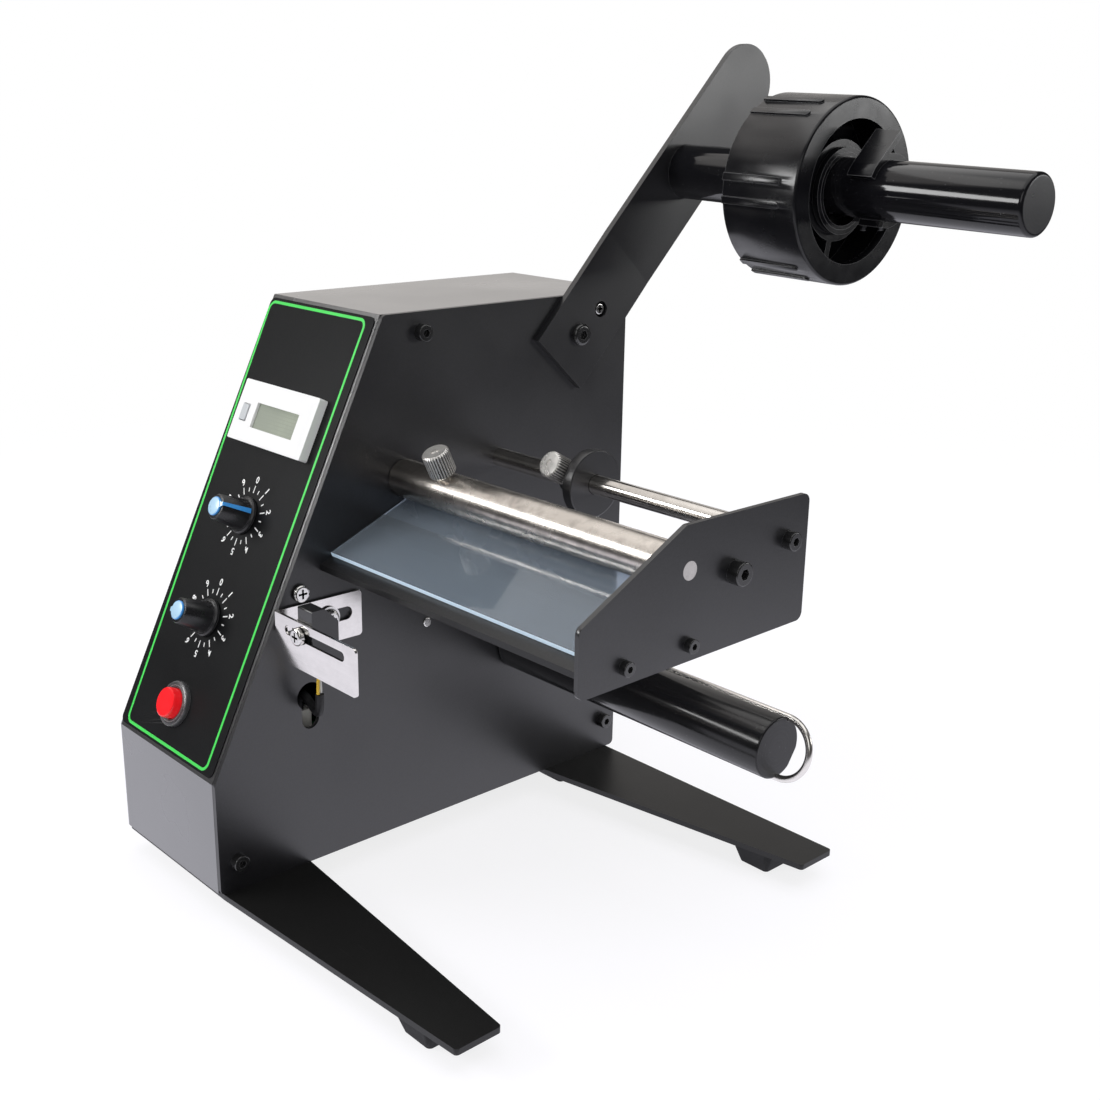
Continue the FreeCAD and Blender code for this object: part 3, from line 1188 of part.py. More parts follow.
# ---- label sensor ----
def sensor_bracket():
    """Bent stainless bracket: one slotted leg on the side plate, one slotted leg facing the front."""
    x0, x1 = GAP, GAP + BRACKET_SHEET_T
    y0, y1 = BRACKET_FRONT_Y, BRACKET_FRONT_Y + BRACKET_SHEET_T
    z0, z1 = BRACKET_LOW_Z, BRACKET_TOP_Z
    side_leg = box(x0, x1, y0, BRACKET_BACK_Y, z0, z1)
    front_leg = box(x0, BRACKET_REACH, y0, y1, z0, z1)
    bracket = side_leg.fuse(front_leg).removeSplitter()
    bracket = bracket.makeFillet(BRACKET_CORNER_R, bracket_free_corners(bracket))
    bend = [edge for edge in bracket.Edges
            if edge.BoundBox.XMax < x0 + NEAR and edge.BoundBox.YMax < y0 + NEAR]
    bracket = bracket.makeFillet(BRACKET_BEND_R, bend)
    side_slot = slot_y(x0 - SPARE, x1 + SPARE, *SIDE_SLOT_Y, SIDE_SLOT_Z, SIDE_SLOT_R)
    front_slot = slot_y(-SPARE, SPARE, *FRONT_SLOT_X, FRONT_SLOT_Z, FRONT_SLOT_R)
    to_front = Rotation(Vector(0, -1, 0), Vector(1, 0, 0), Vector(0, 0, 1))
    front_slot.Placement = Placement(Vector(0, y0, 0), to_front)
    return bracket.cut([bracket_chamfer(x0, y0, z0), side_slot, front_slot]).removeSplitter()


def bracket_free_corners(bracket):
    """Short edges through the sheet at the far ends of both legs."""
    return [edge for edge in bracket.Edges
            if edge.Length < BRACKET_SHEET_T + NEAR and edge.BoundBox.ZLength < NEAR
            and (edge.BoundBox.XMin > BRACKET_REACH - NEAR or edge.BoundBox.YMin > BRACKET_BACK_Y - NEAR)]


def bracket_chamfer(x0, y0, z0):
    """Corner cut away below the bend, seen from the front."""
    y = y0 - SPARE
    corners = ((x0 - SPARE, z0 - SPARE), (x0 + BRACKET_CHAMFER, z0 - SPARE), (x0 + BRACKET_CHAMFER, z0),
               (x0, z0 + BRACKET_CHAMFER), (x0 - SPARE, z0 + BRACKET_CHAMFER))
    corner = face_of([Vector(x, y, z) for x, z in corners])
    return corner.extrude(Vector(0, SPARE + BRACKET_CHAMFER, 0))


def sensor_head():
    """Photo sensor block behind the bracket's front leg, its upper back corner bevelled."""
    y0 = BRACKET_FRONT_Y + BRACKET_SHEET_T + GAP
    y1 = y0 + SENSOR_DEPTH
    z0, z1 = SENSOR_Z
    profile = ((y0, z0), (y1, z0), (y1, z1 - SENSOR_CHAMFER), (y1 - SENSOR_CHAMFER, z1), (y0, z1))
    head = prism_x(profile, *SENSOR_X, SENSOR_EDGE_R)
    start = Vector(SENSOR_SCREW_X, y0 - SPARE, FRONT_SLOT_Z)
    screw_hole = Part.makeCylinder(M3_R, SPARE + SENSOR_SCREW_GRIP, start, Vector(0, 1, 0))
    return head.cut(screw_hole)


def sensor_screw():
    base = Vector(SENSOR_SCREW_X, BRACKET_FRONT_Y - GAP, FRONT_SLOT_Z)
    return pan_screw(base, Vector(0, -1, 0), BRACKET_SHEET_T + 2 * GAP + SENSOR_SCREW_GRIP)


def bracket_screw():
    """Screw with a fixed washer that holds the bracket to the side plate."""
    x = GAP + BRACKET_SHEET_T + GAP
    washer = rod_x(x, x + WASHER_T, BRACKET_SCREW_Y, SIDE_SLOT_Z, WASHER_R)
    screw = pan_screw(Vector(x + WASHER_T, BRACKET_SCREW_Y, SIDE_SLOT_Z), Vector(1, 0, 0), PAN_SCREW_LENGTH)
    return washer.fuse(screw).removeSplitter()


def lead_tube(route, radius):
    """Round cable along straight runs joined by tangent arcs as large as the runs allow."""
    points = [Vector(*point) for point in route]
    edges = []
    bends = []
    last = points[0]
    for before, corner, after in zip(points, points[1:], points[2:]):
        run = min((corner - before).Length, (after - corner).Length)
        half_turn = (corner - before).getAngle(after - corner) / 2
        bend = BEND_SHARE * run / math.tan(half_turn)
        start, middle, end = corner_arc(before, corner, after, bend)
        edges.append(Part.LineSegment(last, start).toShape())
        edges.append(Part.Arc(start, middle, end).toShape())
        bends.append(round(bend, 1))
        last = end
    edges.append(Part.LineSegment(last, points[-1]).toShape())
    path = Part.Wire(edges)
    section = Part.Wire(Part.makeCircle(radius, points[0], points[1] - points[0]))
    tube = path.makePipeShell([section], True, False)
    print("cable length %.1f mm, volume / (section x length) %.4f, bend radii %s" %
          (path.Length, tube.Volume / (math.pi * radius ** 2 * path.Length), bends))
    return tube


# ---- assembly ----
def build_nodes():
    nodes["side_plate"] = side_plate()
    nodes["housing_shell"] = housing_shell()
    nodes["bottom_plate"] = bottom_plate()
    nodes["control_panel"] = control_panel()
    nodes["front_foot_bar"] = foot_bar(FRONT_ROOT_Y, FRONT_TIP_Y)
    nodes["rear_foot_bar"] = foot_bar(REAR_ROOT_Y, REAR_TIP_Y)
    nodes["rubber_feet"] = [rubber_foot(x, y) for x, y in rubber_places()]
    nodes["pan_screws"] = pan_screws()
    nodes["socket_screws"] = socket_screws()
    nodes["side_rivet"] = side_rivet()
    nodes["reel_arm"] = reel_arm()
    nodes["arm_bolt"] = arm_bolt()
    nodes["arm_locating_screw"] = arm_locating_screw()
    nodes["reel_shaft"] = reel_shaft()
    nodes["reel_shaft_screw"] = reel_screw()
    nodes["holder_sleeve"] = holder_sleeve()
    nodes["holder_collar"] = holder_collar()
    nodes["core_holder"] = core_holder()
    nodes["peel_bed"] = peel_bed()
    nodes["acrylic_plate"] = acrylic_plate()
    nodes["outer_plate"] = outer_plate()
    nodes["press_core"] = press_core()
    nodes["press_tube"] = press_tube()
    nodes["press_thumb_screw"] = press_thumb_screw()
    nodes["tie_rod"] = cross_rod(TIE_END)
    nodes["guide_rod"] = cross_rod(GUIDE_END)
    nodes["edge_guide"] = edge_guide()
    nodes["guide_thumb_screw"] = guide_thumb_screw()
    nodes["take_up_spindle"] = take_up_spindle()
    nodes["web_clip"] = web_clip()
    nodes["spindle_bush"] = spindle_bush()
    nodes["take_up_pulley"] = pulley(TAKEUP_Y, TAKEUP_Z, TAKEUP_PULLEY_R, DRIVE_SHAFT_R + SEAT)
    nodes["motor_pulley"] = motor_pulley()
    nodes["drive_belt"] = drive_belt()
    nodes["gear_motor"] = gear_motor()
    nodes["motor_bracket"] = motor_bracket()
    nodes["circuit_board"] = circuit_board()
    nodes["board_standoffs"] = board_standoffs()
    nodes["power_supply"] = power_supply()
    nodes["power_inlet"] = power_inlet()
    nodes["counter_case"] = counter_case()
    nodes["counter_display"] = counter_display()
    nodes["counter_reset_key"] = reset_key()
    dials = (("length", LENGTH_DIAL_S, LENGTH_POINTER), ("speed", SPEED_DIAL_S, SPEED_POINTER))
    for name, s, pointer in dials:
        nodes[name + "_potentiometer"] = potentiometer(s)
        nodes[name + "_knob"] = dial_knob(s)
        nodes[name + "_knob_cap"] = dial_cap(s, pointer)
    nodes["power_button"] = power_button()
    nodes["button_bezel"] = button_bezel()
    nodes["sensor_bracket"] = sensor_bracket()
    nodes["bracket_screw"] = bracket_screw()
    nodes["sensor_head"] = sensor_head()
    nodes["sensor_screw"] = sensor_screw()
    nodes["sensor_plug"] = sensor_plug()
    nodes["sensor_lead"] = lead_tube(LEAD_ROUTE, LEAD_R)
    nodes["white_wire"] = lead_tube(WHITE_ROUTE, WIRE_R)
    nodes["yellow_wire"] = lead_tube(YELLOW_ROUTE, WIRE_R)


def as_shape(value):
    return Part.makeCompound(value) if isinstance(value, list) else value


build_nodes()
whole = Part.makeCompound([as_shape(value) for value in nodes.values()])
extent = whole.optimalBoundingBox(False, False)
ORIGIN = Vector((extent.XMin + extent.XMax) / 2, (extent.YMin + extent.YMax) / 2, extent.ZMin)

os.makedirs("parts", exist_ok=True)
for name, value in nodes.items():
    shape = as_shape(value).copy()
    shape.translate(ORIGIN * -1)
    shape.exportStep("parts/%s.step" % name)
print("nodes %d, size %.1f x %.1f x %.1f mm" %
      (len(nodes), extent.XLength, extent.YLength, extent.ZLength))
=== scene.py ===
import json
import math
import bmesh
import bpy
from mathutils import Matrix, Vector


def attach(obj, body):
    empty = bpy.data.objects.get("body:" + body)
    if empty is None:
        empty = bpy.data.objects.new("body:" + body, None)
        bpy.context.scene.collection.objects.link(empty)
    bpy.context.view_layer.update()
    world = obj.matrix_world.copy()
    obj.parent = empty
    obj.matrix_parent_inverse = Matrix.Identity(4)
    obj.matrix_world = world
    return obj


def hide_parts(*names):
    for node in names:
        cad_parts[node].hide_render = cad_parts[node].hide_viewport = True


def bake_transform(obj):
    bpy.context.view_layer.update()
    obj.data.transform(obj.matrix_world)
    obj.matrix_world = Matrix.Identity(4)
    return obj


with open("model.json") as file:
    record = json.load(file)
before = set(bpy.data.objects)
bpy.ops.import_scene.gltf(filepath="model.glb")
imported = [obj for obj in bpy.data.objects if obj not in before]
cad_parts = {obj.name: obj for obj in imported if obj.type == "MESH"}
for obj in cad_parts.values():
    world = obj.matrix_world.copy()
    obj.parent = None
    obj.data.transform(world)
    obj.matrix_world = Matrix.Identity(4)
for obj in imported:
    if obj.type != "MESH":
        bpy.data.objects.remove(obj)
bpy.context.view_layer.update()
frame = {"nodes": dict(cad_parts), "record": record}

# Sizes are in millimetres in the part's working frame; a name that ends in _M holds metres.
# Working frame: X = 0 on the side plate, Y = 0 on the housing's front, Z = 0 on its lower edge.
ORIGIN = Vector((51.01524, 152.15538, -12.0))
NOSE_HEIGHT = 48.4
HOUSING_HEIGHT = 225.0
SLOPE_RUN = 85.2
SLOPE_ANGLE = math.atan2(HOUSING_HEIGHT - NOSE_HEIGHT, SLOPE_RUN)
OVERLAY_T = 0.4

# ---- camera ----
CAMERA_AT = Vector((460.96, -249.76, 308.34))
CAMERA_YAW = math.radians(47.256)
CAMERA_PITCH = math.radians(17.528)
CAMERA_ROLL = math.radians(0.942)
CAMERA_LENS = 47.133
CAMERA_SENSOR = 36.0
CAMERA_NEAR_M = 0.01


def metres(point):
    """Working-frame millimetres to metres in the shared frame."""
    return (Vector(point) - ORIGIN) / 1000.0


def opaque(colour):
    """Colour with full alpha."""
    return (*colour, 1.0)


def tone(colour, factor):
    """Lighter or darker shade of a colour."""
    return tuple(min(1.0, channel * factor) for channel in colour)


def new_object(name, data):
    """Object with the given data, in the scene's collection."""
    obj = bpy.data.objects.new(name, data)
    bpy.context.scene.collection.objects.link(obj)
    return obj


# ---- node helpers ----
# The Mix node's sockets share their names, so they are told apart by number.
MIX_COLOURS = (6, 7)
MIX_VALUES = (2, 3)
MIX_COLOUR_OUT = 2

GROOVE = "groove"               # mesh attribute: 1 deep in a groove, where shade is painted
EDGE_SAMPLES = 6
EDGE_AGREE = (0.97, 0.85)       # how far rounded and true normals agree where an edge begins, and on it
# Painted shade in recesses, from ambient occlusion:
RECESS_REACH_M = 0.002
RECESS_OPEN = (0.82, 0.6)       # how open a place is where a recess begins, and in it
FACES_OUT = (0.9, 0.97)         # a normal's component where a face begins to count as facing a way, and does
PATTERN_MIDDLE = (0.3, 0.7)     # the part of a noise pattern that sheen follows


def add_node(tree, kind, inputs=None, **settings):
    """New shader node; inputs gives sockets, by name or number, a constant or another node's output."""
    node = tree.nodes.new("ShaderNode" + kind)
    for setting, value in settings.items():
        setattr(node, setting, value)
    for socket, value in (inputs or {}).items():
        if isinstance(value, bpy.types.NodeSocket):
            tree.links.new(value, node.inputs[socket])
        else:
            node.inputs[socket].default_value = value
    return node


def mix_colours(tree, factor, first, second):
    """Colour mix; first and second are colours or outputs."""
    inputs = {"Factor": factor}
    for socket, value in zip(MIX_COLOURS, (first, second)):
        inputs[socket] = value if isinstance(value, bpy.types.NodeSocket) else opaque(value)
    return add_node(tree, "Mix", inputs, data_type="RGBA").outputs[MIX_COLOUR_OUT]


def mix_values(tree, factor, first, second):
    """Mix of plain values; first and second are numbers or outputs."""
    return add_node(tree, "Mix", {"Factor": factor, MIX_VALUES[0]: first, MIX_VALUES[1]: second}).outputs[0]


class Looks:
    """Node tree of one material, with short calls for the nodes used here."""

    def __init__(self, name, **constants):
        self.material = bpy.data.materials.new(name)
        self.material.use_nodes = True
        self.tree = self.material.node_tree
        self.shader = self.tree.nodes["Principled BSDF"]
        self.place = self.add("TexCoord").outputs["Object"]
        for socket, value in constants.items():
            self.shader.inputs[socket.replace("_", " ")].default_value = value

    def add(self, kind, inputs=None, **settings):
        return add_node(self.tree, kind, inputs, **settings)

    def feed(self, socket, output):
        """Join an output to one of the shader's sockets."""
        self.tree.links.new(output, self.shader.inputs[socket])

    def colour(self, output):
        self.feed("Base Color", output)

    def rough(self, output):
        self.feed("Roughness", output)

    def sheen(self, pattern, low, high):
        """Roughness from low to high over the middle of a noise pattern."""
        self.rough(self.spread(pattern, *PATTERN_MIDDLE, low, high))

    def bump(self, height, strength, depth_mm):
        """Fine relief, on top of the relief that is there already."""
        node = self.add("Bump", {"Height": height, "Strength": strength, "Distance": depth_mm / 1000.0})
        before = self.shader.inputs["Normal"]
        if before.is_linked:
            self.tree.links.new(before.links[0].from_socket, node.inputs["Normal"])
        self.feed("Normal", node.outputs["Normal"])

    def mapped(self, scale=(1, 1, 1), turn=(0, 0, 0)):
        """Place on the object, stretched and then turned, for a texture."""
        return self.add("Mapping", {"Vector": self.place, "Scale": scale, "Rotation": turn}).outputs["Vector"]

    def noise(self, scale, detail=3.0, vector=None, rough=0.55):
        """Noise over the object, or over another vector."""
        node = self.add("TexNoise", {"Vector": vector or self.place, "Scale": scale, "Detail": detail,
                                     "Roughness": rough})
        return node.outputs["Fac"]

    def spread(self, value, low, high, to_low=0.0, to_high=1.0):
        """Map range, clamped."""
        node = self.add("MapRange", {"Value": value, "From Min": low, "From Max": high, "To Min": to_low,
                                     "To Max": to_high})
        return node.outputs["Result"]

    def blend(self, factor, first, second):
        return mix_colours(self.tree, factor, first, second)

    def maths(self, kind, first, second=0.0):
        return self.add("Math", {0: first, 1: second}, operation=kind).outputs[0]

    def vector_maths(self, kind, *values):
        """The Vector and Value outputs of a vector maths node."""
        return self.add("VectorMath", dict(enumerate(values)), operation=kind).outputs

    def component(self, vector, name):
        """X, Y or Z of a vector output."""
        return self.add("SeparateXYZ", {"Vector": vector}).outputs[name]

    def facing(self, name):
        """One component of the true surface normal."""
        return self.component(self.add("NewGeometry").outputs["True Normal"], name)

    def out_of_panel(self):
        """1 where the surface faces straight out of the control panel."""
        upward = self.maths("MULTIPLY", self.facing("Z"), math.cos(SLOPE_ANGLE))
        backward = self.maths("MULTIPLY", self.facing("Y"), math.sin(SLOPE_ANGLE))
        return self.maths("SUBTRACT", upward, backward)

    def hollow(self, kind):
        """1 in narrow recesses, or in the grooves that a mesh marks: where shade is painted."""
        if kind == GROOVE:
            return self.add("Attribute", attribute_name=GROOVE).outputs["Fac"]
        around = self.add("AmbientOcclusion", {"Distance": RECESS_REACH_M})
        return self.spread(around.outputs["AO"], *RECESS_OPEN)

    def edges(self, width_mm):
        """1 along the sharp edges of the surface."""
        rounded = self.add("Bevel", {"Radius": width_mm / 1000.0}, samples=EDGE_SAMPLES).outputs["Normal"]
        true = self.add("NewGeometry").outputs["Normal"]
        return self.spread(self.vector_maths("DOT_PRODUCT", rounded, true)["Value"], *EDGE_AGREE)


# ---- kinds of material ----
COAT_IOR = 2.12
COAT_ROUGH = 0.06
SCRATCH_COLOUR = (0.16, 0.16, 0.165)
# Width of the painted highlight along plastic edges.
EDGE_HIGHLIGHT_WIDTH = 0.5
# Painted highlight along a turned bar's edges: its width and colour.
BAR_EDGE_WIDTH = 0.6
BAR_EDGE_HIGHLIGHT = (0.2, 0.2, 0.205)
BAR_DUST_COLOUR = (0.10, 0.10, 0.105)


def powder_coat(name, colour, rough, grain=1500.0, specular=0.3, scratches=False, coat=0.0):
    """Fine textured powder coat: speckle, soft sheen changes and a grained surface."""
    looks = Looks(name, Specular_IOR_Level=specular, Coat_Weight=coat, Coat_IOR=COAT_IOR,
                  Coat_Roughness=rough)
    speckle = looks.noise(grain, 2.0)
    base = looks.blend(looks.spread(speckle, 0.35, 0.68), tone(colour, 0.75), tone(colour, 1.3))
    if scratches:
        base = scratched(looks, base)
    looks.colour(base)
    looks.sheen(looks.noise(18.0, 3.0), rough - 0.04, rough + 0.05)
    looks.bump(speckle, 0.35, 0.05)
    looks.bump(looks.noise(grain * 0.3, 2.0), 0.2, 0.05)
    return looks.material


def scratched(looks, base):
    """A few thin pale scratches in two directions."""
    for turn, patch_scale in ((0.5, 9.0), (-0.9, 6.0)):
        streaks = looks.noise(1.0, 1.0, looks.mapped((26.0, 1500.0, 1.0), (0, 0, turn)), 0.3)
        patches = looks.noise(patch_scale, 1.0)
        marks = looks.maths("MULTIPLY", looks.spread(streaks, 0.74, 0.8), looks.spread(patches, 0.58, 0.66))
        base = looks.blend(marks, base, SCRATCH_COLOUR)
    return base


def plastic(name, colour, rough, coat=0.0, specular=0.5, grain=900.0, depth=0.02, change=0.12, edge_highlight=0.0):
    """Moulded plastic: faint mottling, uneven sheen, a very fine skin and, if asked, paler edges as a painted
    highlight.
    """
    looks = Looks(name, Specular_IOR_Level=specular, Coat_Weight=coat, Coat_Roughness=COAT_ROUGH)
    base = looks.blend(looks.noise(55.0, 3.0), tone(colour, 1 - change), tone(colour, 1 + change))
    # Paler colour along the edges: a painted highlight.
    if edge_highlight:
        base = looks.blend(looks.edges(EDGE_HIGHLIGHT_WIDTH), base, (edge_highlight, edge_highlight, edge_highlight * 1.03))
    looks.colour(base)
    looks.sheen(looks.noise(130.0, 4.0), rough - 0.03, rough + 0.05)
    looks.bump(looks.noise(grain, 2.0), 0.25, depth)
    return looks.material


def metal(name, colour, rough, stretch=(1, 1, 1), grain=300.0, depth=0.01, change=0.06, stains=0.0,
          painted_shade_in="", pure=1.0):
    """Bare metal with fine marks along its working direction, and painted shade in its recesses or grooves.
    """
    looks = Looks(name, Metallic=pure)
    lines = looks.noise(grain, 3.0, looks.mapped(stretch), 0.6)
    base = looks.blend(lines, tone(colour, 1 - change), tone(colour, 1 + change))
    if stains:
        patches = looks.spread(looks.noise(170.0, 5.0), 0.45, 0.72, 0.0, stains)
        base = looks.blend(patches, base, tone(colour, 0.4))
    # Painted shade: nearly black in recesses or grooves.
    if painted_shade_in:
        base = looks.blend(looks.hollow(painted_shade_in), base, tone(colour, 0.05))
    looks.colour(base)
    looks.rough(looks.spread(looks.noise(70.0, 4.0), 0.25, 0.75, rough * 0.8, rough * 1.3))
    looks.bump(lines, 0.3, depth)
    return looks.material


def turned_black(name, colour, rough, axis_at):
    """Glossy black bar with faint turning marks round it and on its end, a painted sheen on the end, a
    painted highlight along its edges, and a little dust.
    """
    looks = Looks(name, Specular_IOR_Level=0.44)
    along = looks.noise(1.0, 3.0, looks.mapped((1800.0, 40.0, 40.0)), 0.6)
    from_axis = looks.add("Mapping", {"Vector": looks.place, "Location": metres((0, *axis_at))},
                          vector_type="TEXTURE")
    across = looks.vector_maths("MULTIPLY", from_axis.outputs["Vector"], (0, 2600.0, 2600.0))["Vector"]
    away = looks.vector_maths("LENGTH", across)["Value"]
    rings = looks.noise(1.0, 2.0, looks.add("CombineXYZ", {"X": away}).outputs["Vector"], 0.6)
    on_end = looks.spread(looks.facing("X"), *FACES_OUT)
    side = looks.blend(along, tone(colour, 0.8), tone(colour, 1.25))
    # Turning marks in rings on the end, painted up to three times lighter than the side: partly the marks,
    # partly a painted sheen.
    end = looks.blend(looks.spread(rings, 0.35, 0.65), tone(colour, 1.1), tone(colour, 3.2))
    # Paler colour along the edges: a painted highlight.
    base = looks.blend(looks.edges(BAR_EDGE_WIDTH), looks.blend(on_end, side, end), BAR_EDGE_HIGHLIGHT)
    dust = looks.spread(looks.noise(1400.0, 1.0), 0.74, 0.78)
    looks.colour(looks.blend(dust, base, BAR_DUST_COLOUR))
    uneven = looks.spread(looks.noise(60.0, 3.0), *PATTERN_MIDDLE, rough - 0.03, rough + 0.05)
    looks.rough(looks.maths("ADD", uneven, looks.maths("MULTIPLY", on_end, 0.2)))
    looks.bump(along, 0.2, 0.01)
    return looks.material


def rubber(name, colour, rough=0.72):
    """Dull rubber with pale dust."""
    looks = Looks(name, Specular_IOR_Level=0.3)
    dust = looks.noise(420.0, 4.0)
    looks.colour(looks.blend(looks.spread(dust, 0.45, 0.8), colour, tone(colour, 2.4)))
    looks.sheen(dust, rough - 0.06, rough + 0.08)
    looks.bump(looks.noise(1200.0, 2.0), 0.3, 0.04)
    return looks.material


# ---- materials of their own ----
BOARD_LEFT_X = -17.7            # left face of the circuit board
BOARD_FADE_M = 0.0001           # width of the change from the board to its parts
ACRYLIC_IOR = 1.49
ACRYLIC_EDGE_GLOW = (0.55, 0.78, 1.0)
BUTTON_EDGE_WIDTH = 0.45


def overlay_print():
    """Embossed satin foil of the control panel, near black."""
    looks = Looks("panel_print", Specular_IOR_Level=0.14)
    grain = looks.noise(2600.0, 2.0)
    looks.colour(looks.blend(looks.spread(grain, *PATTERN_MIDDLE), (0.0035, 0.0038, 0.0045),
                             (0.0085, 0.0088, 0.0095)))
    looks.sheen(looks.noise(40.0, 2.0), 0.4, 0.48)
    looks.bump(grain, 0.4, 0.04)
    return looks.material


def acrylic():
    """Smoky clear sheet with a few scuffs and a frosted front edge, painted pale blue with a painted glow as
    its highlight.
    """
    looks = Looks("acrylic_clear", IOR=ACRYLIC_IOR, Emission_Color=opaque(ACRYLIC_EDGE_GLOW))
    edge = looks.spread(looks.maths("MULTIPLY", looks.facing("Y"), -1.0), 0.85, 0.9)
    body = looks.blend(looks.noise(25.0, 3.0), (0.36, 0.43, 0.51), (0.44, 0.51, 0.59))
    # The front edge is painted pale blue and given a glow: a painted highlight.
    looks.colour(looks.blend(edge, body, (0.8, 0.9, 1.0)))
    looks.feed("Emission Strength", looks.spread(edge, 0.0, 1.0, 0.0, 0.3))
    looks.feed("Transmission Weight", looks.spread(edge, 0.0, 1.0, 0.72, 0.25))
    scuffs = looks.noise(1.0, 3.0, looks.mapped((60.0, 900.0, 900.0), (0.0, 0.0, 0.3)), 0.7)
    looks.rough(looks.spread(scuffs, 0.45, 0.8, 0.035, 0.16))
    looks.bump(looks.noise(90.0, 2.0), 0.1, 0.02)
    return looks.material


def display_glass():
    """Reflective liquid-crystal display with a faint cell pattern and soft darker clouds."""
    looks = Looks("display_grey", Specular_IOR_Level=0.12)
    cells = looks.add("TexBrick", {"Vector": looks.place, "Scale": 380.0, "Mortar Size": 0.03,
                                   "Color1": opaque((0.33, 0.36, 0.295)),
                                   "Color2": opaque((0.345, 0.375, 0.305)),
                                   "Mortar": opaque((0.315, 0.34, 0.28))})
    clouds = looks.spread(looks.noise(45.0, 2.0), *PATTERN_MIDDLE)
    looks.colour(looks.blend(clouds, cells.outputs["Color"], (0.285, 0.31, 0.26)))
    looks.sheen(looks.noise(300.0, 2.0), 0.36, 0.44)
    return looks.material


def cap_blue():
    """Blue cap moulding, strong blue on the pointer and rim, painted pale where it faces out of the panel as
    a painted sheen.
    """
    looks = Looks("pointer_blue", Specular_IOR_Level=0.5, Coat_Weight=0.3, Coat_Roughness=COAT_ROUGH)
    clouds = looks.noise(120.0, 3.0)
    top = looks.blend(clouds, (0.42, 0.65, 0.84), (0.48, 0.7, 0.87))
    side = looks.blend(clouds, (0.045, 0.29, 0.74), (0.055, 0.33, 0.8))
    # The faces out of the panel get the pale colour: a painted sheen.
    looks.colour(looks.blend(looks.spread(looks.out_of_panel(), *FACES_OUT), side, top))
    looks.sheen(clouds, 0.24, 0.32)
    return looks.material


def lit_red():
    """Translucent red push button, darker round its edges, with a painted glow that is stronger on its face
    out of the panel than on its sides.
    """
    looks = Looks("button_red", Specular_IOR_Level=0.45, Coat_Weight=0.2, Coat_Roughness=COAT_ROUGH)
    clouds = looks.noise(140.0, 3.0)
    body = looks.blend(clouds, (0.82, 0.01, 0.015), (0.9, 0.014, 0.02))
    body = looks.blend(looks.edges(BUTTON_EDGE_WIDTH), body, (0.42, 0.004, 0.008))
    looks.colour(body)
    # Painted glow: stronger on the face out of the panel than on the sides.
    looks.feed("Emission Color", body)
    looks.feed("Emission Strength", looks.spread(looks.out_of_panel(), *FACES_OUT, 0.22, 0.42))
    looks.sheen(clouds, 0.16, 0.24)
    return looks.material


def board_material():
    """Green solder mask on the board itself; the parts on its left side are dark."""
    looks = Looks("board_green", Specular_IOR_Level=0.5)
    tracks = looks.noise(1.0, 2.0, looks.mapped((60.0, 420.0, 420.0)), 0.4)
    mask = looks.blend(looks.spread(tracks, 0.48, 0.52), (0.012, 0.13, 0.04), (0.02, 0.2, 0.065))
    left_of_board = metres((BOARD_LEFT_X, 0, 0)).x
    on_parts = looks.spread(looks.component(looks.place, "X"), left_of_board, left_of_board - BOARD_FADE_M)
    looks.colour(looks.blend(on_parts, mask, (0.03, 0.03, 0.035)))
    looks.rough(looks.spread(tracks, 0.4, 0.6, 0.3, 0.42))
    return looks.material


# ---- every material ----
POWDER_COATS = {
    "black_paint": dict(colour=(0.0085, 0.0085, 0.0102), rough=0.33, specular=0.95),
    "foot_paint": dict(colour=(0.009, 0.009, 0.009), rough=0.36, specular=0.45, scratches=True),
    "cover_paint": dict(colour=(0.012, 0.012, 0.0135), rough=0.29, grain=1300.0, specular=1.0, coat=1.0),
    "steel_plate": dict(colour=(0.03, 0.03, 0.031), rough=0.5),
    "bed_black": dict(colour=(0.010, 0.010, 0.011), rough=0.36, grain=1100.0, specular=0.5),
}
PLASTICS = {
    "black_screw": dict(colour=(0.012, 0.012, 0.0125), rough=0.22, specular=1.0, grain=2000.0, depth=0.03,
                        edge_highlight=0.1),
    "holder_black": dict(colour=(0.0045, 0.0045, 0.006), rough=0.24, specular=0.52, grain=400.0, depth=0.01,
                         edge_highlight=0.13),
    "inlet_black": dict(colour=(0.018, 0.018, 0.019), rough=0.45, specular=0.4, grain=1300.0, depth=0.03),
    "counter_grey": dict(colour=(0.85, 0.85, 0.85), rough=0.48, specular=0.25, grain=1600.0, depth=0.03,
                         change=0.03),
    "key_grey": dict(colour=(0.52, 0.54, 0.56), rough=0.4, specular=0.45, grain=1500.0, depth=0.03,
                     change=0.04),
    "knob_black": dict(colour=(0.012, 0.012, 0.0135), rough=0.27, specular=0.55, grain=1500.0, depth=0.03,
                       edge_highlight=0.1),
    "bezel_grey": dict(colour=(0.055, 0.055, 0.058), rough=0.26, coat=0.2, specular=0.6, grain=1400.0,
                       edge_highlight=0.3),
    "sensor_black": dict(colour=(0.014, 0.014, 0.015), rough=0.2, coat=0.3, specular=0.55, grain=700.0),
    "plug_white": dict(colour=(0.7, 0.69, 0.65), rough=0.4),
    "wire_white": dict(colour=(0.72, 0.72, 0.7), rough=0.32, change=0.04),
    "wire_yellow": dict(colour=(0.78, 0.5, 0.03), rough=0.32, change=0.06),
    "green_ink": dict(colour=(0.06, 0.7, 0.1), rough=0.36, change=0.05),
    "white_ink": dict(colour=(0.88, 0.88, 0.88), rough=0.4, change=0.02),
}
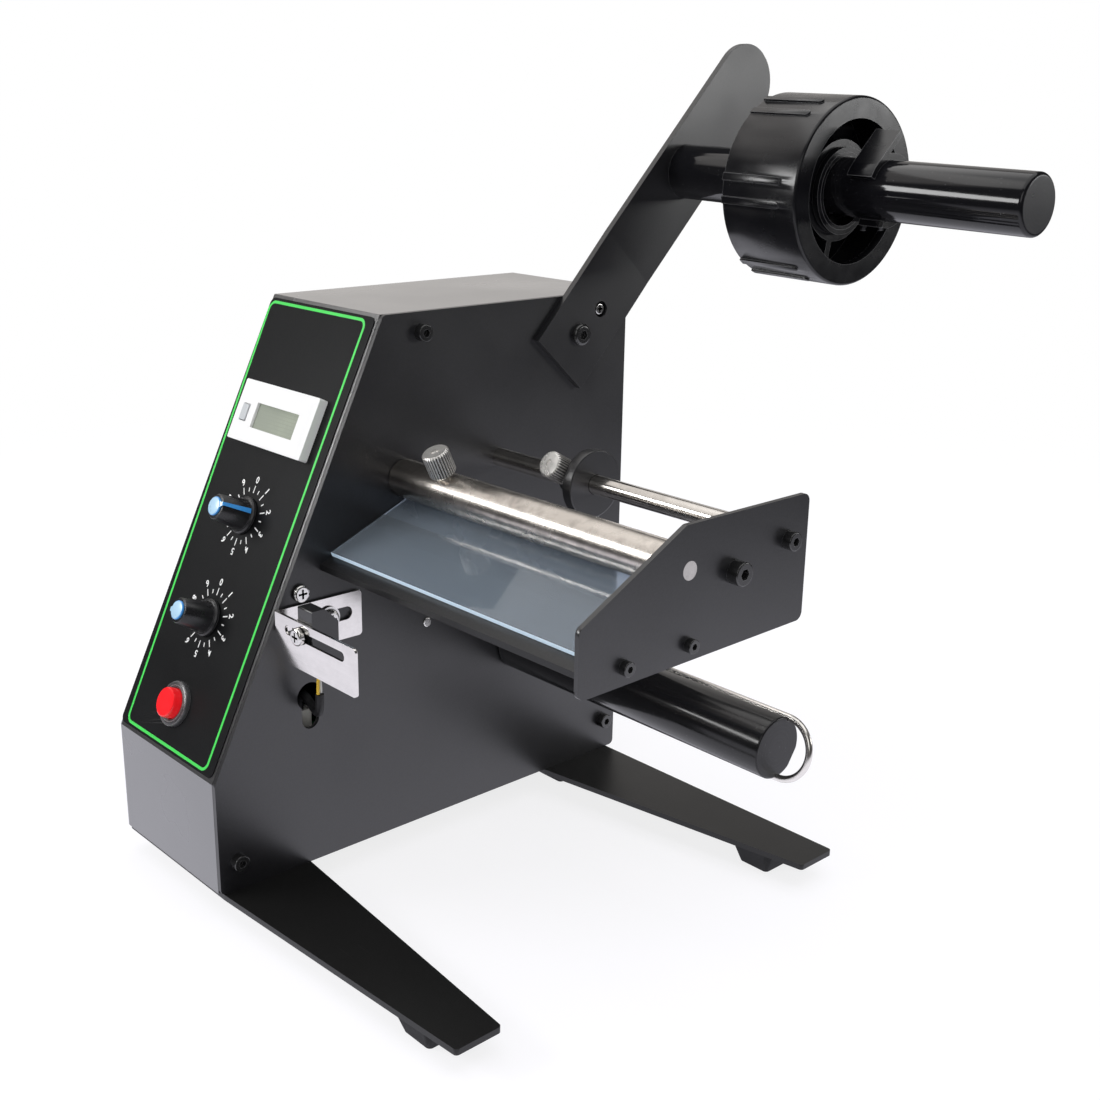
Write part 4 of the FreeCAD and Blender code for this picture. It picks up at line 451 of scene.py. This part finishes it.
METALS = {
    "bright_screw": dict(colour=(0.82, 0.81, 0.79), rough=0.2, grain=900.0, depth=0.02, change=0.08,
                         stains=0.2, painted_shade_in="recess"),
    "chrome_tube": dict(colour=(0.7, 0.655, 0.605), rough=0.25, stretch=(0.12, 1, 1), grain=420.0,
                        depth=0.003, change=0.08, stains=0.45),
    "rod_steel": dict(colour=(0.78, 0.75, 0.71), rough=0.17, stretch=(0.1, 1, 1), grain=420.0, depth=0.008,
                      stains=0.3),
    "knurled_nickel": dict(colour=(0.82, 0.8, 0.77), rough=0.28, grain=700.0, depth=0.02, change=0.1,
                           stains=0.3, painted_shade_in=GROOVE, pure=0.8),
    "clip_wire": dict(colour=(0.86, 0.83, 0.79), rough=0.24, stretch=(0.1, 1, 1), grain=600.0),
    "machined_steel": dict(colour=(0.6, 0.6, 0.59), rough=0.28, grain=500.0),
    "bronze_bush": dict(colour=(0.56, 0.36, 0.16), rough=0.35),
    "motor_case": dict(colour=(0.6, 0.61, 0.62), rough=0.32, stretch=(8, 1, 1), grain=200.0),
    "standoff_brass": dict(colour=(0.7, 0.5, 0.22), rough=0.25),
    "supply_case": dict(colour=(0.56, 0.57, 0.58), rough=0.38),
    "pot_metal": dict(colour=(0.6, 0.6, 0.58), rough=0.3),
    "stainless": dict(colour=(0.82, 0.795, 0.775), rough=0.15, stretch=(0.06, 1, 1), grain=700.0, depth=0.006,
                      stains=0.1),
}
TURNED_BARS = {
    "reel_black": dict(colour=(0.0068, 0.0068, 0.0082), rough=0.09, axis_at=(251.5, 272.8)),
    "spindle_black": dict(colour=(0.009, 0.009, 0.010), rough=0.16, axis_at=(157.3, 70.9)),
}
RUBBERS = {
    "rubber_black": dict(colour=(0.013, 0.013, 0.014)),
    "belt_rubber": dict(colour=(0.014, 0.014, 0.014)),
    "lead_black": dict(colour=(0.012, 0.012, 0.013), rough=0.42),
}
# Nodes that don't look like the rest of their slot.
OWN_LOOKS = {"front_foot_bar": "foot_paint", "rear_foot_bar": "foot_paint", "edge_guide": "black_paint"}


def build_materials():
    """Every material slot of the record, plus the foot bars' paint and the two inks."""
    made = {"panel_print": overlay_print(), "acrylic_clear": acrylic(), "display_grey": display_glass(),
            "pointer_blue": cap_blue(), "button_red": lit_red(), "board_green": board_material()}
    for maker, table in ((powder_coat, POWDER_COATS), (plastic, PLASTICS), (metal, METALS),
                         (turned_black, TURNED_BARS), (rubber, RUBBERS)):
        for name, look in table.items():
            made[name] = maker(name, **look)
    return made


def dress_nodes(materials):
    """Each CAD node gets the material of its slot in the record, or one of its own."""
    for row in frame["record"]["subparts"]:
        data = frame["nodes"][row["node"]].data
        data.materials.clear()
        data.materials.append(materials[OWN_LOOKS.get(row["node"], row["material_slot"])])


# Width of the rounded edge on each of these nodes.
SOFT_EDGES = {
    "side_plate": 0.35, "outer_plate": 0.4, "reel_arm": 0.4, "front_foot_bar": 0.4, "rear_foot_bar": 0.4,
    "peel_bed": 0.3, "counter_case": 0.3, "acrylic_plate": 0.2, "sensor_bracket": 0.15,
    "counter_reset_key": 0.25, "rubber_feet": 0.4, "sensor_head": 0.2, "core_holder": 0.5,
    "holder_collar": 0.3, "reel_shaft": 0.9, "take_up_spindle": 0.8, "housing_shell": 0.45,
    "control_panel": 0.2, "socket_screws": 0.3, "arm_bolt": 0.3, "button_bezel": 0.3, "edge_guide": 0.2,
}
WELD_REACH_M = 0.000002
SOFTENED_ANGLE = math.radians(50)


def soften_edges():
    """Small rounded edges on sheet and moulded pieces, so that they catch the light."""
    for node, width in SOFT_EDGES.items():
        obj = frame["nodes"][node]
        weld = obj.modifiers.new("weld", "WELD")
        weld.merge_threshold = WELD_REACH_M
        bevel = obj.modifiers.new("edge", "BEVEL")
        bevel.width = width / 1000.0
        bevel.segments = 2
        bevel.limit_method = "ANGLE"
        bevel.angle_limit = SOFTENED_ANGLE
        bevel.use_clamp_overlap = True
        bevel.harden_normals = True


# ---- making pieces ----
SHARP_ANGLE = math.radians(32)


def add_piece(name, mesh, materials, look, body=None, stands_for=None):
    """New piece with its material, the body it rides on and the CAD node that it stands for."""
    obj = new_object(name, mesh)
    mesh.materials.clear()
    mesh.materials.append(materials[look])
    if body:
        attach(obj, body)
    if stands_for:
        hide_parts(stands_for)
    return obj


def loft(made, rings, caps=True):
    """Faces between closed rings of points, one ring after the other, with a cap at both ends."""
    for low, high in zip(rings, rings[1:]):
        for i in range(len(low)):
            j = (i + 1) % len(low)
            made.faces.new((low[i], low[j], high[j], high[i]))
    if caps:
        made.faces.new(list(reversed(rings[0])))
        made.faces.new(rings[-1])


def as_mesh(name, made):
    """Mesh of a bmesh, which is freed."""
    mesh = bpy.data.meshes.new(name)
    made.to_mesh(mesh)
    made.free()
    return mesh


def smooth_mesh(name, made):
    """Mesh of a bmesh, with smooth faces between its sharp edges."""
    bmesh.ops.recalc_face_normals(made, faces=made.faces)
    mesh = as_mesh(name, made)
    mesh.shade_smooth()
    mesh.set_sharp_from_angle(angle=SHARP_ANGLE)
    return mesh


def mesh_of_curve(name, curve):
    """Mesh of a curve or a text."""
    holder = new_object(name, curve)
    bpy.context.view_layer.update()
    mesh = bpy.data.meshes.new_from_object(holder.evaluated_get(bpy.context.evaluated_depsgraph_get()))
    bpy.data.objects.remove(holder)
    bpy.data.curves.remove(curve)
    return mesh


def panel_point(x, s, h):
    """Working-frame point from x across, s up the slope and h out of the panel."""
    y = s * math.cos(SLOPE_ANGLE) - h * math.sin(SLOPE_ANGLE)
    z = NOSE_HEIGHT + s * math.sin(SLOPE_ANGLE) + h * math.cos(SLOPE_ANGLE)
    return Vector((x, y, z))


def panel_matrix(x, s, h, clockwise=0.0):
    """Places something drawn in millimetres in XY on the panel, turned clockwise about its own origin."""
    across = Vector((1, 0, 0))
    out = panel_point(0, 0, 1) - panel_point(0, 0, 0)
    up = out.cross(across)
    turned_up = up * math.cos(clockwise) + across * math.sin(clockwise)
    turned_across = across * math.cos(clockwise) - up * math.sin(clockwise)
    columns = [axis / 1000.0 for axis in (turned_across, turned_up, out)] + [metres(panel_point(x, s, h))]
    matrix = Matrix.Identity(4)
    for column, value in enumerate(columns):
        for row in range(3):
            matrix[row][column] = value[row]
    return matrix


# ---- print on the panel ----
INK_T = 0.06                        # print standing out of the overlay
INK_BASE = OVERLAY_T - 0.01
DIAL_X = -42.6
DIAL_S = {"length": 102.8, "speed": 58.2}
DIAL_STEP = 36.0                    # degrees from one numeral to the next
NUMERAL_RING = 15.4
NUMERAL_H = 2.8
NUMERAL_SHARE = 0.7                 # a numeral's height over the size of its font
NUMERAL_BOLD = 0.085
TICK_W = 0.5
LONG_TICK = (9.9, 13.0)
SHORT_TICK = (10.4, 12.1)
# Green line: left x, right x and distance up the slope, at its top and at its lower end.
BORDER_TOP = (-78.3, -9.0, 192.6)
BORDER_LOW = (-74.3, -8.8, 3.3)
BORDER_W = 1.25
BORDER_R = 3.4
CORNER_STEPS = 6


def add_block(target, matrix, x0, x1, y0, y1):
    """Flat printed bar between the given corners."""
    corners = ((x0, y0), (x1, y0), (x1, y1), (x0, y1))
    loft(target, [[target.verts.new(matrix @ Vector((x, y, z))) for x, y in corners] for z in (0, INK_T)])


def add_numeral(target, text, matrix):
    """One printed numeral, its foot towards the dial's centre."""
    curve = bpy.data.curves.new("numeral", "FONT")
    curve.body = text
    curve.size = NUMERAL_H / NUMERAL_SHARE
    curve.align_x = "CENTER"
    curve.align_y = "CENTER"
    curve.offset = NUMERAL_BOLD
    curve.extrude = INK_T / 2
    curve.resolution_u = 3
    mesh = mesh_of_curve("numeral", curve)
    mesh.transform(matrix @ Matrix.Translation((0, 0, INK_T / 2)))
    target.from_mesh(mesh)
    bpy.data.meshes.remove(mesh)


def dial_print(which, materials):
    """Numerals 0 to 9 round a dial with a long tick at each and a short one between them."""
    name = which + "_dial_print"
    made = bmesh.new()
    for number in range(10):
        turn = math.radians(DIAL_STEP * number)
        matrix = panel_matrix(DIAL_X, DIAL_S[which], INK_BASE, turn)
        add_block(made, matrix, -TICK_W / 2, TICK_W / 2, *LONG_TICK)
        between = panel_matrix(DIAL_X, DIAL_S[which], INK_BASE, turn + math.radians(DIAL_STEP / 2))
        add_block(made, between, -TICK_W / 2, TICK_W / 2, *SHORT_TICK)
        add_numeral(made, str(number), matrix @ Matrix.Translation((0, NUMERAL_RING, 0)))
    add_piece(name, as_mesh(name, made), materials, "white_ink", "machine")


def rounded_outline(corners, radius):
    """Points round a closed outline of (x, s) corners, each corner rounded."""
    points = []
    for i, corner in enumerate(corners):
        here = Vector(corner)
        before = (Vector(corners[i - 1]) - here).normalized()
        after = (Vector(corners[(i + 1) % len(corners)]) - here).normalized()
        half = before.angle(after) / 2
        centre = here + (before + after).normalized() * radius / math.sin(half)
        start = here + before * radius / math.tan(half) - centre
        end = here + after * radius / math.tan(half) - centre
        for step in range(CORNER_STEPS + 1):
            share = step / CORNER_STEPS
            points.append(centre + (start * (1 - share) + end * share).normalized() * radius)
    return points


def panel_border(materials):
    """Green line round the control panel."""
    top_left, top_right, top_s = BORDER_TOP
    low_left, low_right, low_s = BORDER_LOW
    made = bmesh.new()
    layers = []
    foot, crest = INK_BASE, INK_BASE + INK_T
    for grow, heights in ((BORDER_W / 2, (foot, crest)), (-BORDER_W / 2, (crest, foot))):
        corners = ((low_left - grow, low_s - grow), (low_right + grow, low_s - grow),
                   (top_right + grow, top_s + grow), (top_left - grow, top_s + grow))
        outline = rounded_outline(corners, BORDER_R + grow)
        layers += [[made.verts.new(metres(panel_point(*point, h))) for point in outline] for h in heights]
    loft(made, layers + layers[:1], caps=False)
    bmesh.ops.recalc_face_normals(made, faces=made.faces)
    add_piece("panel_border", as_mesh("panel_border", made), materials, "green_ink", "machine")


# ---- dial knobs and power button ----
# Profiles: distance from the axis and height above the panel of each point.
POINTER_TURN = {"length": 66.0, "speed": 261.0}
KNOB_PROFILE = ((2.9, -8.4), (2.9, 0.95), (7.9, 0.95), (7.9, 1.9), (7.35, 2.5), (6.75, 2.6), (5.3, 14.8),
                (5.05, 15.15), (4.0, 15.3))
CAP_PROFILE = ((3.95, 15.1), (3.95, 15.85), (3.8, 16.08), (3.5, 16.2))
# Pointer line: distance from the axis, height and half width at each end and bend.
POINTER_STEPS = ((2.6, 16.18, 1.6), (5.2, 15.7, 0.75), (5.62, 14.9, 0.7), (7.05, 2.75, 1.05))
POINTER_T = 0.7
BUTTON_AT = (-43.4, 20.3)
BUTTON_PROFILE = ((3.4, -9.0), (3.4, -0.6), (6.3, -0.6), (6.3, 5.5), (6.1, 6.0), (5.65, 6.25), (5.2, 6.2),
                  (4.0, 6.15))
BEZEL_PROFILE = ((6.5, 0.3), (6.5, 2.1), (6.8, 2.5), (7.5, 2.6), (7.65, 2.45), (7.8, 2.6), (8.6, 2.55),
                 (9.3, 2.2), (9.6, 1.6), (9.6, 0.3))
TURNED_STEPS = 72


def turned(name, profile, matrix, ring=False):
    """Solid of revolution about the panel's normal through the profile; ring leaves it hollow."""
    made = bmesh.new()
    angles = [2 * math.pi * i / TURNED_STEPS for i in range(TURNED_STEPS)]
    levels = [[made.verts.new(matrix @ Vector((radius * math.cos(a), radius * math.sin(a), height)))
               for a in angles] for radius, height in profile]
    if ring:
        loft(made, levels + levels[:1], caps=False)
    else:
        loft(made, levels)
    return smooth_mesh(name, made)


def pointer_mesh(name, matrix):
    """Raised line from the cap over the knob's edge and down its side, wider at both ends."""
    made = bmesh.new()
    sections = []
    for away, height, half in POINTER_STEPS:
        inner = (away - POINTER_T, height - POINTER_T)
        corners = ((-half, away, height), (half, away, height), (half, *inner), (-half, *inner))
        sections.append([made.verts.new(matrix @ Vector(corner)) for corner in corners])
    loft(made, sections)
    return smooth_mesh(name, made)


def dial_pieces(which, materials):
    """Tapered knob with its skirt, the pale cap disc on its end and the pointer line."""
    matrix = panel_matrix(DIAL_X, DIAL_S[which], 0.0, math.radians(POINTER_TURN[which]))
    body = which + "_dial"
    grip, disc, pointer = which + "_grip", which + "_disc", which + "_pointer"
    add_piece(grip, turned(grip, KNOB_PROFILE, matrix), materials, "knob_black", body,
              stands_for=which + "_knob")
    add_piece(disc, turned(disc, CAP_PROFILE, matrix), materials, "pointer_blue", body,
              stands_for=which + "_knob_cap")
    add_piece(pointer, pointer_mesh(pointer, matrix), materials, "pointer_blue", body)


def button_pieces(materials):
    """Power button with a fine rim, and the ridged ring round it."""
    matrix = panel_matrix(*BUTTON_AT, 0.0)
    add_piece("button_cap", turned("button_cap", BUTTON_PROFILE, matrix), materials, "button_red",
              "power_button", stands_for="power_button")
    add_piece("bezel_ring", turned("bezel_ring", BEZEL_PROFILE, matrix, ring=True), materials, "bezel_grey",
              "machine")


# ---- knurled thumb screws ----
HEAD_R = 5.5
HEAD_H = 10.4
HEAD_CHAMFER = 0.7
HEAD_UNDERCUT = 0.15                # the stem ends this far below the head
END_RISE = 0.05
END_EDGE = 0.85                     # flat end's edge inside the head's radius
DIMPLE_R = (1.65, 1.35)
DIMPLE_DEPTH = 0.7
STEM_R = 2.0
FLUTES = 30
FLUTE_STEPS = 6
FLUTE_DEPTH = 0.36
FLUTE_ROUND = 0.6                   # lower is a broader crest
GROOVE_SHADE = 2.0                  # a groove is fully dark from half its depth on
# Each screw: point on its rod's axis, tilt to the front, and how far from there its stem and its head begin.
THUMB_SCREWS = {
    "press_knurled_screw": dict(stands_for="press_thumb_screw", body="press_screw",
                                centre=(31.3, 94.0, 157.9), tilt=math.radians(25), stem=6.05, head=9.6),
    "guide_knurled_screw": dict(stands_for="guide_thumb_screw", body="guide_screw",
                                centre=(48.9, 145.6, 158.6), tilt=math.radians(60), stem=4.05, head=8.0),
}


def knurl_radius(angle, radius):
    """Radius of a straight-knurled surface: rounded crests with sharp grooves between them."""
    phase = (angle * FLUTES / (2 * math.pi)) % 1.0
    return radius - FLUTE_DEPTH * (1.0 - math.sin(math.pi * phase) ** FLUTE_ROUND)


def thumb_screw(name, materials, stands_for, body, centre, tilt, stem, head):
    """Straight-knurled head with chamfered ends and a dimple, on a plain stem."""
    end = head + HEAD_H
    # Height, radius and 1 where the surface is knurled.
    profile = ((stem, STEM_R, 0.0), (head - HEAD_UNDERCUT, STEM_R, 0.0), (head, HEAD_R - HEAD_CHAMFER, 0.0),
               (head + HEAD_CHAMFER, HEAD_R, 1.0), (end - HEAD_CHAMFER, HEAD_R, 1.0),
               (end - END_RISE, HEAD_R - HEAD_CHAMFER, 0.0), (end, HEAD_R - END_EDGE, 0.0),
               (end, DIMPLE_R[0], 0.0), (end - DIMPLE_DEPTH, DIMPLE_R[1], 0.0))
    count = FLUTES * FLUTE_STEPS
    made = bmesh.new()
    rings = []
    for height, radius, knurl in profile:
        ring = []
        for i in range(count):
            angle = 2 * math.pi * i / count
            r = knurl_radius(angle, radius) if knurl else radius
            ring.append(made.verts.new((r * math.cos(angle), r * math.sin(angle), height)))
        rings.append(ring)
    loft(made, rings)
    out = Vector((0, -math.sin(tilt), math.cos(tilt)))
    turn = Vector((0, 0, 1)).rotation_difference(out).to_matrix().to_4x4()
    made.transform(Matrix.Translation(metres(centre)) @ turn @ Matrix.Scale(0.001, 4))
    mesh = as_mesh(name, made)
    # The groove attribute carries painted shade: darker deeper in each groove.
    depth = mesh.attributes.new(GROOVE, "FLOAT", "POINT")
    for i, point in enumerate(depth.data):
        level, step = divmod(i, count)
        _, radius, knurl = profile[level]
        cut = radius - knurl_radius(2 * math.pi * step / count, radius)
        point.value = knurl * min(1.0, cut / FLUTE_DEPTH * GROOVE_SHADE)
    add_piece(name, mesh, materials, "knurled_nickel", body, stands_for=stands_for)


# ---- sensor lead and wires ----
LEAD_R = 1.8
WIRE_R = 0.65
LEAD_ROUTE = ((-9.6, 45.8, 65.5), (-9.6, 45.8, 70.5), (-4.5, 45.0, 74.5), (2.6, 43.9, 71.9),
              (9.6, 42.7, 70.1), (12.8, 41.3, 76.3), (12.8, 41.3, 80.5))
WIRE_ROUTES = {
    "white": ((12.4, 42.2, 80.8), (12.4, 42.2, 85.6), (14.4, 39.9, 93.0), (18.2, 37.8, 98.8),
              (18.2, 37.8, 103.4)),
    "yellow": ((13.2, 40.4, 80.8), (13.2, 40.4, 85.4), (17.2, 38.9, 92.6), (21.8, 37.1, 98.4),
               (21.8, 37.1, 103.4)),
}


def cable(name, route, radius, materials, look, stands_for):
    """Round cable along a smooth spline with the route as its control points."""
    curve = bpy.data.curves.new(name, "CURVE")
    curve.dimensions = "3D"
    curve.bevel_depth = radius / 1000.0
    curve.bevel_resolution = 5
    curve.use_fill_caps = True
    curve.resolution_u = 12
    spline = curve.splines.new("NURBS")
    spline.points.add(len(route) - 1)
    for point, place in zip(spline.points, route):
        point.co = (*metres(place), 1.0)
    spline.order_u = 3
    spline.use_endpoint_u = True
    mesh = mesh_of_curve(name + "_line", curve)
    mesh.shade_smooth()
    return add_piece(name, mesh, materials, look, stands_for=stands_for)


def sensor_cables(materials):
    """The lead bends between housing and bracket, and its wires between bracket and sensor."""
    lead = cable("lead_sleeve", LEAD_ROUTE, LEAD_R, materials, "lead_black", "sensor_lead")
    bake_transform(lead)
    for colour, route in WIRE_ROUTES.items():
        wire = cable(colour + "_core", route, WIRE_R, materials, "wire_" + colour, colour + "_wire")
        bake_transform(wire)


# ---- floor ----
FLOOR_R_M = 30.0
SHADOW_ZONE_M = (0.45, 0.95)        # the shadow fades out between these distances
FLOOR_COLOUR = (0.6, 0.6, 0.62)
SHADED_COLOUR = (0.235, 0.23, 0.262)
FLOOR_LIFT = 0.8
MIRROR_ZONE_M = (0.4, 0.85)         # mirrors see the floor darken between these distances
MIRRORED_FAR = 0.03
MIRRORED_TINT = (0.92, 0.915, 1.0)
WHITE = (1.0, 1.0, 1.0)


def glow(tree, strength, colour=WHITE):
    """Plain emission, of a fixed strength or an output's."""
    return add_node(tree, "Emission", {"Strength": strength, "Color": opaque(colour)}).outputs[0]


def mix_shaders(tree, factor, first, second):
    return add_node(tree, "MixShader", {0: factor, 1: first, 2: second}).outputs[0]


def make_floor():
    """Large pale floor; it keeps the object's soft shadow near it and is plain white further out."""
    made = bmesh.new()
    bmesh.ops.create_circle(made, cap_ends=True, radius=FLOOR_R_M, segments=64)
    mesh = as_mesh("floor", made)
    floor = new_object("floor", mesh)
    looks = Looks("floor", Roughness=0.9, Specular_IOR_Level=0.1, Base_Color=opaque(FLOOR_COLOUR))
    tree = looks.tree
    away = looks.vector_maths("LENGTH", looks.place)["Value"]
    path = looks.add("LightPath").outputs
    shaded = looks.add("BsdfDiffuse", {"Color": opaque(SHADED_COLOUR)}).outputs[0]
    near = looks.add("AddShader", {0: shaded, 1: glow(tree, FLOOR_LIFT)}).outputs[0]
    seen = mix_shaders(tree, looks.spread(away, *SHADOW_ZONE_M), near, glow(tree, 1.0))
    mirrored = glow(tree, looks.spread(away, *MIRROR_ZONE_M, 1.0, MIRRORED_FAR), MIRRORED_TINT)
    is_seen = looks.maths("MAXIMUM", path["Is Camera Ray"], path["Is Transmission Ray"])
    surface = mix_shaders(tree, is_seen, looks.shader.outputs[0], seen)
    surface = mix_shaders(tree, path["Is Glossy Ray"], surface, mirrored)
    tree.links.new(surface, tree.nodes["Material Output"].inputs["Surface"])
    mesh.materials.append(looks.material)


# ---- world, lamps and camera ----
WORLD_FILL = 0.5
ROOM_DARK = 0.05
ROOM_TINT = (1.0, 0.96, 0.93)
# Pale parts of the room that mirrors see: direction, cosine where it starts, cosine where it is full, level.
ROOM_PARTS = (
    ((-0.76, 0.64, 0.14), 0.90, 0.99, 0.8),
    ((-0.52, 0.72, 0.45), 0.94, 0.995, 0.5),
    ((-0.68, 0.27, 0.68), 0.93, 0.99, 0.9),
    ((-0.72, -0.22, 0.66), 0.91, 0.95, 0.85),
)
# Lamps in metres and watts: name, place, what it aims at, size, power.
LAMPS = (
    ("top_softbox", (0.0, 0.1, 1.7), (0.0, 0.0, 0.1), (2.2, 2.2), 17.0),
    ("left_softbox", (-0.48, -0.7, 0.47), (0.05, 0.05, 0.2), (0.42, 0.2), 3.0),
    ("front_softbox", (0.95, -1.3, 0.95), (0.0, 0.0, 0.15), (0.95, 0.95), 3.2),
    ("back_strip", (0.83, 1.0, 0.38), (0.0, 0.13, 0.33), (0.5, 0.24), 1.9),
)


def direction_part(tree, looking, direction, low, high):
    """0 to 1 as the viewing direction turns towards the given one."""
    toward = add_node(tree, "VectorMath", {0: looking, 1: Vector(direction).normalized()},
                      operation="DOT_PRODUCT").outputs["Value"]
    return add_node(tree, "MapRange", {"Value": toward, "From Min": low, "From Max": high}).outputs[0]


def make_world():
    """White to the eye; mirrors see a dim room with a few pale parts."""
    world = bpy.data.worlds.new("studio")
    bpy.context.scene.world = world
    world.use_nodes = True
    tree = world.node_tree
    looking = add_node(tree, "TexCoord").outputs["Generated"]
    path = add_node(tree, "LightPath").outputs
    room = ROOM_DARK
    for direction, low, high, level in ROOM_PARTS:
        room = mix_values(tree, direction_part(tree, looking, direction, low, high), room, level)
    level = mix_values(tree, path["Is Glossy Ray"], WORLD_FILL, room)
    level = mix_values(tree, path["Is Camera Ray"], level, 1.0)
    level = mix_values(tree, path["Is Transmission Ray"], level, 1.0)
    background = tree.nodes["Background"]
    tree.links.new(level, background.inputs["Strength"])
    tree.links.new(mix_colours(tree, path["Is Glossy Ray"], WHITE, ROOM_TINT), background.inputs["Color"])


def make_lamps():
    """Large soft rectangles of light."""
    for name, place, aim, size, power in LAMPS:
        light = bpy.data.lights.new(name, "AREA")
        light.shape = "RECTANGLE"
        light.size, light.size_y = size
        light.energy = power
        lamp = new_object(name, light)
        lamp.location = place
        lamp.rotation_euler = (Vector(aim) - Vector(place)).to_track_quat("-Z", "Y").to_euler()


def make_camera():
    """Camera at the place and turn given above: yaw first, then pitch, then roll."""
    forward = Vector((-math.sin(CAMERA_YAW) * math.cos(CAMERA_PITCH),
                      math.cos(CAMERA_YAW) * math.cos(CAMERA_PITCH), -math.sin(CAMERA_PITCH)))
    right = Vector((math.cos(CAMERA_YAW), math.sin(CAMERA_YAW), 0.0))
    up = right.cross(forward)
    rolled_right = right * math.cos(CAMERA_ROLL) + up * math.sin(CAMERA_ROLL)
    rolled_up = up * math.cos(CAMERA_ROLL) - right * math.sin(CAMERA_ROLL)
    data = bpy.data.cameras.new("camera")
    data.lens = CAMERA_LENS
    data.sensor_width = CAMERA_SENSOR
    data.clip_start = CAMERA_NEAR_M
    camera = new_object("camera", data)
    turn = Matrix((rolled_right, rolled_up, -forward)).transposed().to_4x4()
    camera.matrix_world = Matrix.Translation(metres(CAMERA_AT)) @ turn
    bpy.context.scene.camera = camera


bpy.context.scene.view_settings.view_transform = "Standard"
materials = build_materials()
dress_nodes(materials)
soften_edges()
panel_border(materials)
for dial in DIAL_S:
    dial_print(dial, materials)
    dial_pieces(dial, materials)
button_pieces(materials)
for screw, placement in THUMB_SCREWS.items():
    thumb_screw(screw, materials, **placement)
sensor_cables(materials)
make_floor()
make_world()
make_lamps()
make_camera()
